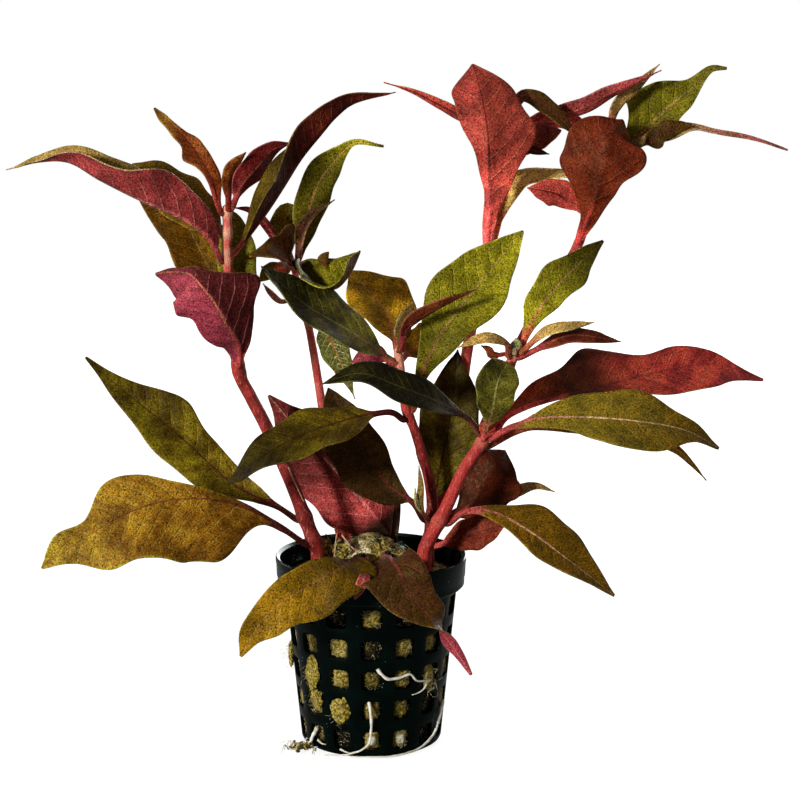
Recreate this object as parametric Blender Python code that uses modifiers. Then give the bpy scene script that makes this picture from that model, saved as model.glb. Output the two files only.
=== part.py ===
"""Alternanthera reineckii, a red and olive stem plant for aquariums, in its black net pot.

Six stems rise from a wool plug in the pot and carry broad lance-shaped leaves. Sizes are in
millimetres in the tables of this script and metres in the model. The origin is the middle of
the pot's underside, +Z is up, and the front of the plant looks along -Y.
"""
import math
from dataclasses import dataclass

import bmesh
import bpy
import numpy as np
from mathutils import Vector

MM = 0.001
GAP = 0.3

# Net pot
RIM_RADIUS = 25.0
POT_HEIGHT = 49.5
COLLAR_HEIGHT = 8.0
COLLAR_FOOT_RADIUS = 24.5
RIM_EDGE = 1.5
LEDGE_RISE = 0.5
FOOT_CHAMFER = 1.0
WALL_TOP_RADIUS = 22.6
WALL_FOOT_RADIUS = 18.4
WALL_THICKNESS = 1.1
COLUMNS = 15
ROWS = 5
ROW_PITCH = 8.25
FIRST_ROW = 1.8
WINDOW_HEIGHT = 5.4
WINDOW_SHARE = 0.62
POT_TURN = 1.0
FLOOR_SLOT_OUTER = 14.0
FLOOR_SLOT_INNER = 6.0

# Wool plug
PLUG_EDGE_HEIGHT = 44.0
PLUG_MOUND = 10.5
PLUG_MOUND_SPREAD = 11.0
PLUG_FOOT = WALL_THICKNESS + GAP
PLUG_SLACK = 0.25
PLUG_SIDES = 21
PLUG_TOP_RADII = (0, 3, 6, 9, 12, 16, 20)

# The eye that the leaves were laid out for: points are given as they look from here
EYE = Vector((7.6, -500.0, 172.0))

# Leaves
BLADE_THICKNESS = 0.55
STALK_HALF_WIDTH = 0.75
TIP_HALF_WIDTH = 0.3
EDGE_WAVES = 2.5
LEAF_STEP = 5.6
LEAST_STEPS = 7
OUTLINE_STEPS = 10
MOST_STEPS = 12

# Stems
STEM_STEP = 7.0
STEM_ROUNDNESS = 2
STEM_FOOT_LIFT = GAP + 0.5
STEM_FIRST_STEP = 1.0
PLACE_STEPS = 200
CURVE_SAMPLES = 16

COLLECTION = "alternanthera_reineckii"

LOOKS = {
    "olive": ((0.13, 0.12, 0.02), 0.5),
    "green": ((0.07, 0.1, 0.02), 0.5),
    "brown": ((0.15, 0.08, 0.02), 0.5),
    "red": ((0.25, 0.03, 0.03), 0.5),
    "magenta": ((0.27, 0.03, 0.07), 0.5),
    "stem": ((0.4, 0.05, 0.06), 0.45),
    "pot": ((0.01, 0.013, 0.012), 0.3),
    "wool": ((0.42, 0.33, 0.1), 0.9),
}


@dataclass
class Stem:
    """A stem: its radius and the points it runs through, (x, z) as seen and the depth behind the axis."""
    name: str
    radius: float
    way: tuple
    top_share: float = 0.6


@dataclass
class Leaf:
    """A leaf, by the way of its midrib from the root to the tip.

    way: points (x, z, depth), x and z as seen on the plane of the pot's axis.
    width: full width of the blade when flat.
    turn: degrees that the blade is turned about its midrib, at even distances from the root to the
        tip. At 0 the upper side faces the front, at 180 the underside does.
    fold: degrees that each half rises out of the flat.
    peak: where the blade is widest, as a share of its length.
    stalk: share of the length that is a bare stalk.
    wave: height of the edge's waves.
    sides: width of the left and the right half, as shares of half the width.
    skew: how far the left half is widest before the peak and the right half behind it.
    pointed: how far the blade runs out to points. Low values give full, rounded ends.
    halves: width of the left and of the right half, each at even distances from the root to the
        tip, for a leaf whose outline isn't a plain blade.
    """
    name: str
    stem: str
    look: str
    way: tuple
    width: float
    turn: tuple = (0, 0)
    fold: float = 10.0
    peak: float = 0.5
    stalk: float = 0.1
    wave: float = 0.0
    sides: tuple = (1.0, 1.0)
    skew: float = 0.0
    pointed: float = 2.3
    halves: tuple = ()


STEMS = (
    Stem("stem_left", 1.8, (
        (-14, 50, -8), (-15, 53, -8), (-18, 61, -7), (-21, 69, -7), (-27, 83, -6), (-31, 91, -6),
        (-34, 98, -6), (-35, 112, -6), (-36.5, 126, -6), (-36.5, 133, -6), (-36.5, 140, -6))),
    Stem("stem_left_back", 1.3, (
        (-6.5, 54, 12), (-9, 64, 13), (-11.5, 80, 13), (-13, 91.5, 12), (-16, 110, 9),
        (-20, 126, 6))),
    Stem("stem_middle", 1.5, (
        (15, 52, 1), (16, 61, 1), (15, 70, -1), (11.5, 82, -4), (9, 89, -6), (7, 103.5, -7))),
    Stem("stem_right", 1.75, (
        (14, 50, -8), (16, 54.5, -8), (20, 62.5, -8), (24, 71.5, -8), (28.5, 78.5, -8),
        (31, 83.5, -8), (34, 91.5, -8), (37.5, 104.5, -8))),
    Stem("stem_tall", 1.6, (
        (15, 53, 8), (18.5, 64, 10), (22, 80, 11), (25, 103.5, 10), (30, 129, 9), (31, 141, 9),
        (35, 162, 11))),
    Stem("stem_tall_right", 1.5, (
        (15, 54, 14), (22, 69, 16), (29.5, 83.5, 16), (36, 99.5, 15), (43.5, 115, 14),
        (53.5, 131.5, 13), (59.5, 151, 13), (62.5, 157.5, 13))),
)

LEAVES = (
    # Left stem, from the crown down
    Leaf("left_leaf_long", "stem_left", "magenta", (
        (-38, 126.5, -7), (-40.5, 131, -9), (-44.5, 135, -11), (-50.5, 138.5, -13),
        (-58.5, 142, -14), (-68.5, 147, -14), (-76.5, 151.5, -12), (-84.5, 151.5, -10),
        (-92.5, 149.5, -8)), 18, (145, 50), 30, 0.36, 0.05, pointed=2.6),
    Leaf("left_leaf_upper_back", "stem_left", "olive", (
        (-38, 134, -2), (-42.5, 137, 4), (-48.5, 142, 9), (-54.5, 147.5, 13),
        (-60.5, 151, 16)), 14, (20, 30), 12, 0.5, 0.05, pointed=1.8),
    Leaf("left_leaf_lower_back", "stem_left", "olive", (
        (-34, 98.5, -3), (-37, 116, 2), (-42, 125.5, 5), (-48, 136.5, 9),
        (-59, 142.5, 13)), 15.5, (10, 10), 10, 0.6, 0.1),
    Leaf("left_leaf_behind", "stem_left", "olive", (
        (-33.5, 102.5, -3), (-33.5, 113.5, -2), (-34, 126, -2), (-35, 139, 1)), 10, (0, 0),
        10, 0.6, 0.1, pointed=1.8),
    Leaf("left_leaf_young_left", "stem_left", "brown", (
        (-37.5, 139, -7), (-40.5, 147, -8), (-44, 153.5, -6), (-48, 158.5, -4),
        (-54.5, 165, 0)), 7, (20, 20), 20, 0.45, 0.1, 0.5),
    Leaf("left_leaf_young_right", "stem_left", "red", (
        (-36, 140, -8), (-32.5, 146, -10), (-28.5, 150.5, -9), (-25, 154.5, -7),
        (-20, 156.5, -5)), 7.5, (-150, -150), 15, 0.45, 0.1),
    Leaf("left_leaf_curved", "stem_left", "red", (
        (-35.5, 128, -7), (-30.5, 133.5, -10), (-26, 139.5, -13), (-22, 145.5, -15),
        (-17.5, 152.5, -16), (-12.5, 158.5, -16), (-8.5, 163, -15), (-3.5, 166.5, -12),
        (6.5, 169, -8)), 16, (-80, -80), 30, 0.4, 0.06),
    Leaf("left_leaf_front", "stem_left", "magenta", (
        (-33.5, 99.5, -8), (-34, 104.5, -13), (-37, 110, -17), (-40, 115.5, -20), (-43.5, 120, -21),
        (-46.5, 123, -19), (-51, 123.5, -17), (-55, 123, -15)), 24, (180, 180), 12,
        halves=((0.8, 1.5, 4.5, 8, 14, 12, 8.5, 4, 1.5, 1, 0.3),
                (0.8, 2.5, 4.5, 6, 7, 7.5, 8, 8, 7, 4.5, 0.3))),
    Leaf("left_leaf_low", "stem_left", "green", (
        (-18.5, 59, -5), (-24.5, 62, -3), (-36, 68, 2), (-49.5, 80.5, 6), (-62.5, 91.5, 8),
        (-73.5, 101.5, 9)), 18, (15, 15), 10, 0.5, 0.1, sides=(1.0, 0.62), skew=0.08),
    Leaf("left_leaf_lowest", "stem_left", "olive", (
        (-18, 51.5, -10), (-26, 58, -13), (-34, 62, -16), (-43, 64, -19), (-53.5, 63.5, -22),
        (-64, 60, -25), (-76, 53, -27), (-86.5, 45.5, -28)), 29, (15, 15), 8, wave=1.0,
        halves=((0.8, 0.8, 2, 12.5, 16.5, 15, 13.5, 13, 9, 4, 0.3),
                (0.8, 0.8, 0.8, 1.5, 2.5, 4.5, 9, 8.5, 4, 4.5, 0.3))),
    # Slim stem behind the left one
    Leaf("slim_leaf_tall", "stem_left_back", "green", (
        (-19, 127, 6), (-16, 138, 7), (-13, 146.5, 8), (-7.5, 153.5, 8), (-3.5, 156.5, 7),
        (3.5, 155.5, 6)), 10, (0, 20), 12, 0.3, 0.08, pointed=2.8),
    Leaf("slim_leaf_left", "stem_left_back", "brown", (
        (-21.5, 125.5, 5), (-23, 127, 0), (-26, 128, -5), (-31, 127.5, -9)), 15, (45, 45),
        25, 0.4, 0.1, pointed=1.6),
    Leaf("slim_leaf_back", "stem_left_back", "green", (
        (-20.5, 127, 9), (-22, 134, 13), (-21, 138.5, 14), (-17.5, 137.5, 12)), 8, (0, 0),
        10, 0.5, 0.1),
    Leaf("slim_leaf_young", "stem_left_back", "brown", (
        (-19, 127, 4), (-17, 134, 2), (-14, 138.5, 0), (-9, 142, -2)), 5, (-40, -40),
        30, 0.4, 0.1),
    Leaf("slim_leaf_folded", "stem_left_back", "green", (
        (-21, 125.5, 3), (-17, 122, -4), (-12.5, 119.5, -8), (-8.5, 119.5, -10), (-5, 123.5, -9),
        (-2.5, 129, -7)), 19, (-80, -75), 52, 0.5, 0.1),
    Leaf("slim_leaf_hanging", "stem_left_back", "green", (
        (-15, 111.5, 9), (-11.5, 108.5, 8), (-7.5, 99.5, 7), (-4, 90.5, 6)), 8, (0, 0),
        8, 0.3, 0.1),
    # Middle stem
    Leaf("middle_leaf_left", "stem_middle", "green", (
        (6, 100.5, -8), (-5.5, 108, -14), (-17, 115, -18), (-28, 125, -18)), 16, (45, 60),
        10, 0.5, 0.08, sides=(0.95, 1.15)),
    Leaf("middle_leaf_back", "stem_middle", "brown", (
        (6.5, 103.5, -3), (4.5, 112, 3), (0, 118, 8), (-5.5, 124, 12)), 18, (20, 30),
        10, 0.5, 0.1),
    Leaf("middle_leaf_narrow", "stem_middle", "red", (
        (7.5, 103, -9), (10, 109.5, -14), (16.5, 114, -16), (27, 119, -16)), 5,
        (-130, -120), 20, 0.4, 0.1),
    Leaf("middle_leaf_right", "stem_middle", "green", (
        (10, 88, -6), (13.5, 97.5, -9), (18.5, 108, -10), (27, 119.5, -7), (39, 134, 0)), 19.5,
        (0, 0), 8, 0.5, 0.2),
    Leaf("middle_leaf_hidden", "stem_middle", "olive", (
        (8, 101.5, -3), (10.5, 103.5, 0), (15, 106, 3), (20.5, 110.5, 6)), 10, (0, 0),
        10, 0.5, 0.1),
    Leaf("middle_leaf_low", "stem_middle", "green", (
        (8.5, 85.5, -6), (4.5, 87, -10), (-5.5, 85, -16), (-18.5, 80.5, -22),
        (-28.5, 75, -25), (-37.5, 68, -24)), 15, (40, 50), 10, 0.5, 0.12),
    Leaf("middle_leaf_lowest", "stem_middle", "brown", (
        (14.5, 58, -2), (11, 63, -1), (4, 68.5, 0), (-3, 80, 1), (-11, 93.5, 2)), 17,
        (0, 0), 10, 0.5, 0.15, sides=(1.15, 0.6), pointed=1.8),
    # Right stem
    Leaf("right_leaf_left", "stem_right", "green", (
        (29.5, 80.5, -10), (25, 85.5, -13), (17.5, 89.5, -18), (7.5, 93.5, -22), (-2.5, 97, -24),
        (-12.5, 94.5, -24)), 11, (40, 50), 10, 0.5, 0.15),
    Leaf("right_leaf_front", "stem_right", "green", (
        (31, 81, -11), (31.5, 87.5, -14), (33, 95.5, -17), (35.5, 100, -12)), 10.5, (0, 0),
        10, 0.62, 0.1, pointed=1.6),
    Leaf("right_leaf_red", "stem_right", "red", (
        (31, 81.5, -7), (35.5, 86, -7), (45, 90, -5), (59.5, 93.5, -1), (75, 97.5, 4),
        (89, 99.5, 8), (101.5, 95.5, 10)), 18, (-40, -40), 8, 0.42, 0.08, 0.8,
        sides=(1.4, 0.85), skew=0.06),
    Leaf("right_leaf_olive", "stem_right", "olive", (
        (31.5, 80, -11), (37.5, 83.5, -14), (46.5, 85.5, -18), (64.5, 85, -23),
        (80.5, 82.5, -25), (90.5, 77.5, -24)), 17, (-35, -35), 8, 0.48, 0.15, 0.6),
    Leaf("right_leaf_under", "stem_right", "red", (
        (30.5, 78.5, -4), (41.5, 83, -3), (59.5, 82.5, -1), (71.5, 80.5, 1), (79, 77.5, 1),
        (83.5, 73.5, 1), (87.5, 69, 1)), 4, (-20, -20), 8, 0.5, 0.1),
    Leaf("right_leaf_arched", "stem_right", "olive", (
        (37, 101.5, -9), (35, 105, -11), (29.5, 106.5, -13), (22.5, 104, -14)), 3,
        (20, 20), 8, 0.5, 0.1),
    Leaf("right_leaf_upright", "stem_right", "olive", (
        (38.5, 103, -7), (41.5, 110.5, -6), (48, 120, -3), (59.5, 131.5, 3)), 12, (0, 0),
        8, 0.5, 0.1),
    Leaf("right_leaf_small_upper", "stem_right", "olive", (
        (39, 102.5, -9), (45, 108, -12), (51.5, 109.5, -13), (57.5, 110.5, -13)), 3.5,
        (-40, -40), 8, 0.5, 0.1),
    Leaf("right_leaf_small_lower", "stem_right", "red", (
        (38.5, 101.5, -8), (45, 104.5, -10), (52.5, 107, -11), (64.5, 105.5, -10)), 5,
        (-40, -40), 8, 0.5, 0.1),
    Leaf("right_leaf_base", "stem_right", "olive", (
        (20, 58, -5), (24.5, 60.5, -7), (31.5, 60.5, -10), (41, 55.5, -16), (52.5, 47, -20),
        (64, 38, -21)), 14, (-35, -35), 8, 0.5, 0.15, sides=(0.9, 1.0)),
    # Tall stem
    Leaf("tall_leaf_front", "stem_tall", "red", (
        (30, 130.5, 6), (30.5, 143, 2), (30, 157, -1), (28.5, 167, 2), (26, 176, 8)), 20,
        (180, 180), 8, halves=((1, 1.5, 2, 4, 7, 9.5, 12, 11.5, 9.5, 6.5, 0.3),
                               (1, 1.5, 1.5, 1.5, 2.5, 3.5, 5.5, 6.5, 7.5, 7, 0.3))),
    Leaf("tall_leaf_arched", "stem_tall", "olive", (
        (31, 131, 12), (34, 140.5, 12), (37.5, 146.5, 13), (44.5, 148, 13), (52, 148, 12),
        (58.5, 145, 9)), 7, (0, 0, -50, -70, -70), 8, 0.5, 0.1),
    Leaf("tall_leaf_thin", "stem_tall", "red", (
        (34, 160, 10), (28, 161, 9), (21.5, 164, 8), (11.5, 169, 6), (3.5, 171.5, 4)), 3.5,
        (150, 150), 10, 0.3, 0.05),
    Leaf("tall_leaf_dark", "stem_tall", "olive", (
        (35, 163, 10), (38.5, 168, 9), (44.5, 165.5, 8), (52.5, 158, 7.5)), 5, (-30, -30),
        10, 0.5, 0.05),
    Leaf("tall_leaf_inner", "stem_tall", "red", (
        (33, 150, 9), (37.5, 154, 10), (43, 157.5, 10), (48.5, 159.5, 10)), 7, (-150, -150),
        10, 0.6, 0.1),
    Leaf("tall_leaf_short", "stem_tall", "red", (
        (35.5, 158, 15), (43, 162, 17), (49.5, 162, 17), (55.5, 159, 16)), 6, (-150, -150),
        10, 0.65, 0.05),
    Leaf("tall_leaf_long", "stem_tall", "red", (
        (36, 161, 12), (45, 163, 13), (53, 165, 12), (62, 169.5, 9.5), (73.5, 174.5, 8)), 5,
        (-150, -150), 15, 0.4, 0.05),
    Leaf("tall_leaf_dark_low", "stem_tall", "green", (
        (16.5, 59.5, 8), (18, 72, 6), (20.5, 85, 6), (22.5, 103.5, 8)), 16.5, (0, 0), 10, 0.5,
        0.1),
    Leaf("tall_leaf_red_low", "stem_tall", "magenta", (
        (21, 57.5, 6), (25.5, 62, 5), (29.5, 68.5, 5), (32.5, 73.5, 5), (35, 77, 9)), 18,
        (180, 180), 15, 0.6, 0.1, sides=(1.1, 1.0)),
    # Tall right stem
    Leaf("far_leaf_front", "stem_tall_right", "red", (
        (53.5, 131, 10), (56.5, 140, 6), (59, 149.5, 2), (61, 158.5, 3), (64, 162, 9)), 22,
        (180, 180), 8, halves=((0.8, 1.5, 2.5, 4.5, 6, 7, 10.5, 10, 9.5, 7.5, 0.3),
                               (0.8, 1.5, 2, 4, 6, 8.5, 11, 11.5, 10, 3.5, 0.3))),
    Leaf("far_leaf_pink", "stem_tall_right", "magenta", (
        (55.5, 138.5, 13), (52, 140.5, 10), (47.5, 143.5, 8), (40, 145, 6)), 8, (150, 170),
        12, 0.5, 0.05),
    Leaf("far_leaf_narrow", "stem_tall_right", "brown", (
        (59.5, 161, 12), (62, 165.5, 13), (67, 170.5, 13), (73, 176, 12)), 3.5, (30, 30),
        15, 0.45, 0.05),
    Leaf("far_leaf_green", "stem_tall_right", "green", (
        (63.5, 154.5, 16), (69.5, 159.5, 18), (74.5, 164.5, 18), (81, 170, 17),
        (85.5, 174.5, 16), (90, 175, 15)), 17.5, (0, 0), 8, 0.45, 0.08),
    Leaf("far_leaf_edge", "stem_tall_right", "olive", (
        (63, 154.5, 11), (69, 156.5, 11), (74.5, 158.5, 10), (81, 160, 9), (87.5, 159, 8),
        (96.5, 157.5, 7), (106, 154.5, 5)), 8, (-70, -75), 20, 0.4, 0.05),
    Leaf("far_leaf_low", "stem_tall_right", "olive", (
        (21, 58.5, 11), (28.5, 64, 12), (37.5, 66, 12), (43, 67.5, 12), (48, 66, 12)), 5,
        (-40, -40), 8, 0.45, 0.1),
    # Leaves that grow from the crown in the wool
    Leaf("crown_leaf_red", "", "magenta", (
        (6, 54, 5), (-1, 62, 6), (-9.5, 72, 7), (-18.5, 82, 7), (-26.5, 91.5, 7)),
        23, (180, 170), 8, 0.42, 0.08),
    Leaf("crown_leaf_red_right", "stem_middle", "red", (
        (19.5, 51.5, 1), (24, 54, 0), (29, 55.5, -1), (35.5, 57.5, -2)), 9, (180, 180), 8,
        0.5, 0.05),
    Leaf("crown_leaf_front_left", "", "olive", (
        (-2.5, 48, -8), (-8, 45.5, -26), (-16, 41, -29), (-24, 36, -32), (-30.5, 29, -33),
        (-34.5, 21.5, -33)), 17, (90, 60, 10, 0, 0, 0), 8, 0.5, 0.2, sides=(1.2, 0.72),
        pointed=1.6),
    Leaf("crown_leaf_front_right", "", "brown", (
        (3.5, 50, -8), (7, 45.5, -27), (10, 38.5, -30), (16.5, 31, -32), (21.5, 24.5, -32),
        (26.5, 16.5, -31)), 16.5, (-90, -50, 0, 0, 0, 60, 150), 8,
        halves=((0.8, 0.8, 1, 3.5, 6.5, 6.5, 5, 5, 3, 1.5, 0.3),
                (0.8, 0.8, 1, 5.5, 9.5, 7.5, 5, 3, 1.5, 1.5, 0.3))),
)


def seen(x, z, depth):
    """Point that looks to be at (x, z) on the axis plane, moved along its sight line to a depth."""
    share = (depth - EYE.y) / -EYE.y
    return Vector((EYE.x + (x - EYE.x) * share, depth, EYE.z + (z - EYE.z) * share))


def smooth_way(points, steps):
    """Points at even distances along a smooth curve through the given points."""
    p = [Vector(point) for point in points]
    p = [2 * p[0] - p[1]] + p + [2 * p[-1] - p[-2]]
    dense = []
    for a, b, c, d in zip(p, p[1:], p[2:], p[3:]):
        for i in range(CURVE_SAMPLES):
            t = i / CURVE_SAMPLES
            dense.append(0.5 * (2 * b + (c - a) * t + (2 * a - 5 * b + 4 * c - d) * t * t
                                + (3 * b - a - 3 * c + d) * t ** 3))
    dense.append(p[-2])
    dense = np.array(dense)
    along = np.concatenate(([0], np.cumsum(np.linalg.norm(np.diff(dense, axis=0), axis=1))))
    even = np.linspace(0, along[-1], steps + 1)
    return np.stack([np.interp(even, along, dense[:, axis]) for axis in range(3)], axis=1)


def plug_top(radius):
    """Height of the wool at a distance from the pot's axis."""
    return PLUG_EDGE_HEIGHT + PLUG_MOUND * math.exp(-(radius / PLUG_MOUND_SPREAD) ** 2)


def stem_line(stem):
    """Centre line of a stem as even points, from just above the wool to its top."""
    points = [seen(*point) for point in stem.way]
    foot = points[0].copy()
    foot.z = plug_top(math.hypot(foot.x, foot.y)) + STEM_FOOT_LIFT
    if points[0].z - foot.z < STEM_FIRST_STEP:
        points = points[1:]
    points = [foot] + points
    length = sum((b - a).length for a, b in zip(points, points[1:]))
    return smooth_way(points, round(length / STEM_STEP))


def stem_radius(stem, share):
    """Radius of a stem at a share of its length."""
    return stem.radius * (1 - (1 - stem.top_share) * share ** 1.5)


def stem_place(stem, near):
    """The point of a stem's centre line nearest to a point, with the line's way and radius there."""
    line = smooth_way(stem_line(stem), PLACE_STEPS)
    index = int(np.argmin(np.linalg.norm(line - np.array(near), axis=1)))
    before, after = line[max(index - 1, 0)], line[min(index + 1, len(line) - 1)]
    radius = stem_radius(stem, index / PLACE_STEPS)
    return Vector(line[index]), Vector(after - before).normalized(), radius


def leaf_points(leaf):
    """Midrib points of a leaf, with the first one moved to stand just off its stem or the wool."""
    points = [seen(*point) for point in leaf.way]
    root = points[0]
    if leaf.stem:
        stem = next(stem for stem in STEMS if stem.name == leaf.stem)
        centre, way, radius = stem_place(stem, root)
        out = points[1] - centre
        out -= out.dot(way) * way
        out.normalize()
        points[0] = centre + out * (radius + GAP + BLADE_THICKNESS)
    else:
        root.z = plug_top(math.hypot(root.x, root.y)) + GAP + STALK_HALF_WIDTH
    return points


def half_width(leaf, side, share):
    """Width of the left (-1) or right (1) half of a leaf at a share of its length from the root."""
    if leaf.halves:
        widths = leaf.halves[side > 0]
        return float(np.interp(share, np.linspace(0, 1, len(widths)), widths))
    stalk = min(STALK_HALF_WIDTH, leaf.width / 4)
    if share <= leaf.stalk:
        return stalk
    share = (share - leaf.stalk) / (1 - leaf.stalk)
    peak = leaf.peak + side * leaf.skew
    rise = (share / peak) ** (leaf.pointed * peak)
    fall = ((1 - share) / (1 - peak)) ** (leaf.pointed * (1 - peak))
    blade = leaf.width / 2 * leaf.sides[side > 0] * rise * fall
    return max(blade, TIP_HALF_WIDTH if share > peak else stalk)


def make_material(look):
    """Principled material of one look, made anew for each piece."""
    colour, roughness = LOOKS[look]
    material = bpy.data.materials.new(look)
    material.use_nodes = True
    shader = material.node_tree.nodes["Principled BSDF"]
    shader.inputs["Base Color"].default_value = (*colour, 1)
    shader.inputs["Roughness"].default_value = roughness
    shader.inputs["Metallic"].default_value = 0
    return material


def file_under(thing, collection):
    """Move an object from the scene's collections to the given one."""
    for other in thing.users_collection:
        other.objects.unlink(thing)
    collection.objects.link(thing)


def make_leaf(leaf, collection):
    """A leaf: a grid laid along the midrib, folded about it, and given a thickness."""
    points = leaf_points(leaf)
    length = sum((b - a).length for a, b in zip(points, points[1:]))
    least = OUTLINE_STEPS if leaf.halves else LEAST_STEPS
    steps = min(max(round(length / LEAF_STEP), least), MOST_STEPS)
    bpy.ops.mesh.primitive_grid_add(x_subdivisions=2, y_subdivisions=steps, size=2)
    thing = bpy.context.object
    thing.name = thing.data.name = leaf.name
    midrib = smooth_way(points, steps)
    tangents = np.gradient(midrib, axis=0)
    for vertex in thing.data.vertices:
        side = vertex.co.x
        station = round((vertex.co.y + 1) / 2 * steps)
        share = station / steps
        centre, tangent = Vector(midrib[station]), Vector(tangents[station]).normalized()
        right = tangent.cross((EYE - centre).normalized()).normalized()
        front = right.cross(tangent)
        turn = math.radians(np.interp(share, np.linspace(0, 1, len(leaf.turn)), leaf.turn))
        across = right * math.cos(turn) - front * math.sin(turn)
        upper = front * math.cos(turn) + right * math.sin(turn)
        width = half_width(leaf, side, share)
        fold = math.radians(leaf.fold)
        rise = abs(side) * width * math.sin(fold)
        rise += leaf.wave * side * (2 * width / leaf.width) * math.sin(share * EDGE_WAVES * math.tau)
        vertex.co = (centre + across * side * width * math.cos(fold) + upper * rise) * MM
    thickness = thing.modifiers.new("thickness", "SOLIDIFY")
    thickness.thickness = BLADE_THICKNESS * MM
    thickness.offset = 0
    thing.data.materials.append(make_material(leaf.look))
    file_under(thing, collection)


def make_stem(stem, collection):
    """A stem: a tapering tube along its centre line with closed ends."""
    line = stem_line(stem)
    curve = bpy.data.curves.new(stem.name, "CURVE")
    curve.dimensions = "3D"
    curve.bevel_depth = stem.radius * MM
    curve.bevel_resolution = STEM_ROUNDNESS
    curve.use_fill_caps = True
    spline = curve.splines.new("POLY")
    spline.points.add(len(line) - 1)
    for index, (point, place) in enumerate(zip(spline.points, line)):
        point.co = (*(Vector(place) * MM), 1)
        point.radius = stem_radius(stem, index / (len(line) - 1)) / stem.radius
    thing = bpy.data.objects.new(stem.name, curve)
    thing.data.materials.append(make_material("stem"))
    collection.objects.link(thing)


def turned(name, profile, collection, look, steps):
    """A piece turned about Z from a profile of (radius, height) that runs top to bottom outside."""
    mesh = bpy.data.meshes.new(name)
    points = [(radius * MM, 0, height * MM) for radius, height in profile]
    mesh.from_pydata(points, [(i, i + 1) for i in range(len(points) - 1)], [])
    thing = bpy.data.objects.new(name, mesh)
    collection.objects.link(thing)
    screw = thing.modifiers.new("turn", "SCREW")
    screw.steps = screw.render_steps = steps
    screw.use_merge_vertices = True
    screw.merge_threshold = 0.00005
    thing.data.materials.append(make_material(look))
    return thing


def applied(thing):
    """Replace an object's mesh by its evaluated mesh and drop its modifiers."""
    depsgraph = bpy.context.evaluated_depsgraph_get()
    mesh = bpy.data.meshes.new_from_object(thing.evaluated_get(depsgraph))
    thing.modifiers.clear()
    thing.data = mesh
    mesh.name = thing.name


def wall_radius(height):
    """Outer radius of the pot's wall below its collar."""
    share = height / (POT_HEIGHT - COLLAR_HEIGHT)
    return WALL_FOOT_RADIUS + (WALL_TOP_RADIUS - WALL_FOOT_RADIUS) * share


def pot_profile():
    """Outer profile of the pot, from the rim down to the middle of its floor."""
    ledge = POT_HEIGHT - COLLAR_HEIGHT
    profile = [(RIM_RADIUS, POT_HEIGHT), (RIM_RADIUS, POT_HEIGHT - RIM_EDGE),
               (COLLAR_FOOT_RADIUS, ledge + LEDGE_RISE), (wall_radius(ledge), ledge)]
    for row in reversed(range(ROWS)):
        foot = FIRST_ROW + row * ROW_PITCH
        for height in (foot + WINDOW_HEIGHT, foot):
            profile.append((wall_radius(height), height))
    profile += [(WALL_FOOT_RADIUS, FOOT_CHAMFER), (WALL_FOOT_RADIUS - FOOT_CHAMFER, 0.0)]
    profile += [(FLOOR_SLOT_OUTER, 0.0), (FLOOR_SLOT_INNER, 0.0), (0.0, 0.0)]
    return profile


def is_window(face):
    """Whether a face of the turned wall or floor is one that the net leaves open."""
    centre = face.calc_center_median() / MM
    angle = math.degrees(math.atan2(centre.y, centre.x)) % (360 / COLUMNS)
    if not angle < 180 / COLUMNS:
        return False
    flat = math.hypot(centre.x, centre.y)
    if centre.z < FOOT_CHAMFER / 2:
        return FLOOR_SLOT_INNER < flat < FLOOR_SLOT_OUTER
    level = (centre.z - FIRST_ROW) % ROW_PITCH
    return 0 < level < WINDOW_HEIGHT and FIRST_ROW < centre.z < POT_HEIGHT - COLLAR_HEIGHT


def make_pot(collection):
    """The net pot: a turned skin with its windows taken out, made as thick as the wall."""
    thing = turned("net_pot", pot_profile(), collection, "pot", 2 * COLUMNS)
    applied(thing)
    step = math.pi / COLUMNS
    widen = (WINDOW_SHARE - 0.5) * step
    mesh = bmesh.new()
    mesh.from_mesh(thing.data)
    bmesh.ops.delete(mesh, geom=[face for face in mesh.faces if is_window(face)], context="FACES")
    for vertex in mesh.verts:
        flat = math.hypot(vertex.co.x, vertex.co.y)
        column = round(math.atan2(vertex.co.y, vertex.co.x) / step)
        angle = column * step + (widen if column % 2 else -widen)
        vertex.co.x, vertex.co.y = flat * math.cos(angle), flat * math.sin(angle)
    mesh.to_mesh(thing.data)
    mesh.free()
    wall = thing.modifiers.new("wall", "SOLIDIFY")
    wall.thickness = WALL_THICKNESS * MM
    wall.offset = -1
    wall.use_even_offset = True
    thing.rotation_euler.z = math.radians(-90 - 90 / COLUMNS + POT_TURN)


def make_plug(collection):
    """The wool plug: it fills the pot and rises to a mound among the stems."""
    ledge = POT_HEIGHT - COLLAR_HEIGHT
    inset = WALL_THICKNESS + GAP + PLUG_SLACK
    neck = wall_radius(ledge) - inset
    foot = wall_radius(PLUG_FOOT) - inset
    profile = [(radius, plug_top(radius)) for radius in PLUG_TOP_RADII]
    profile += [(COLLAR_FOOT_RADIUS - inset, PLUG_EDGE_HEIGHT)]
    profile += [(COLLAR_FOOT_RADIUS - inset, PLUG_EDGE_HEIGHT - LEDGE_RISE)]
    profile += [(neck, ledge + WALL_THICKNESS + GAP), (neck, ledge)]
    profile += [(foot, PLUG_FOOT + FOOT_CHAMFER), (foot - FOOT_CHAMFER, PLUG_FOOT), (0, PLUG_FOOT)]
    turned("wool_plug", profile, collection, "wool", PLUG_SIDES)


def main():
    """Build the pot, the wool, the stems and the leaves."""
    for thing in list(bpy.data.objects):
        bpy.data.objects.remove(thing, do_unlink=True)
    collection = bpy.data.collections.new(COLLECTION)
    bpy.context.scene.collection.children.link(collection)
    make_pot(collection)
    make_plug(collection)
    for stem in STEMS:
        make_stem(stem, collection)
    for leaf in LEAVES:
        make_leaf(leaf, collection)


if __name__ == "__main__":
    main()
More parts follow.
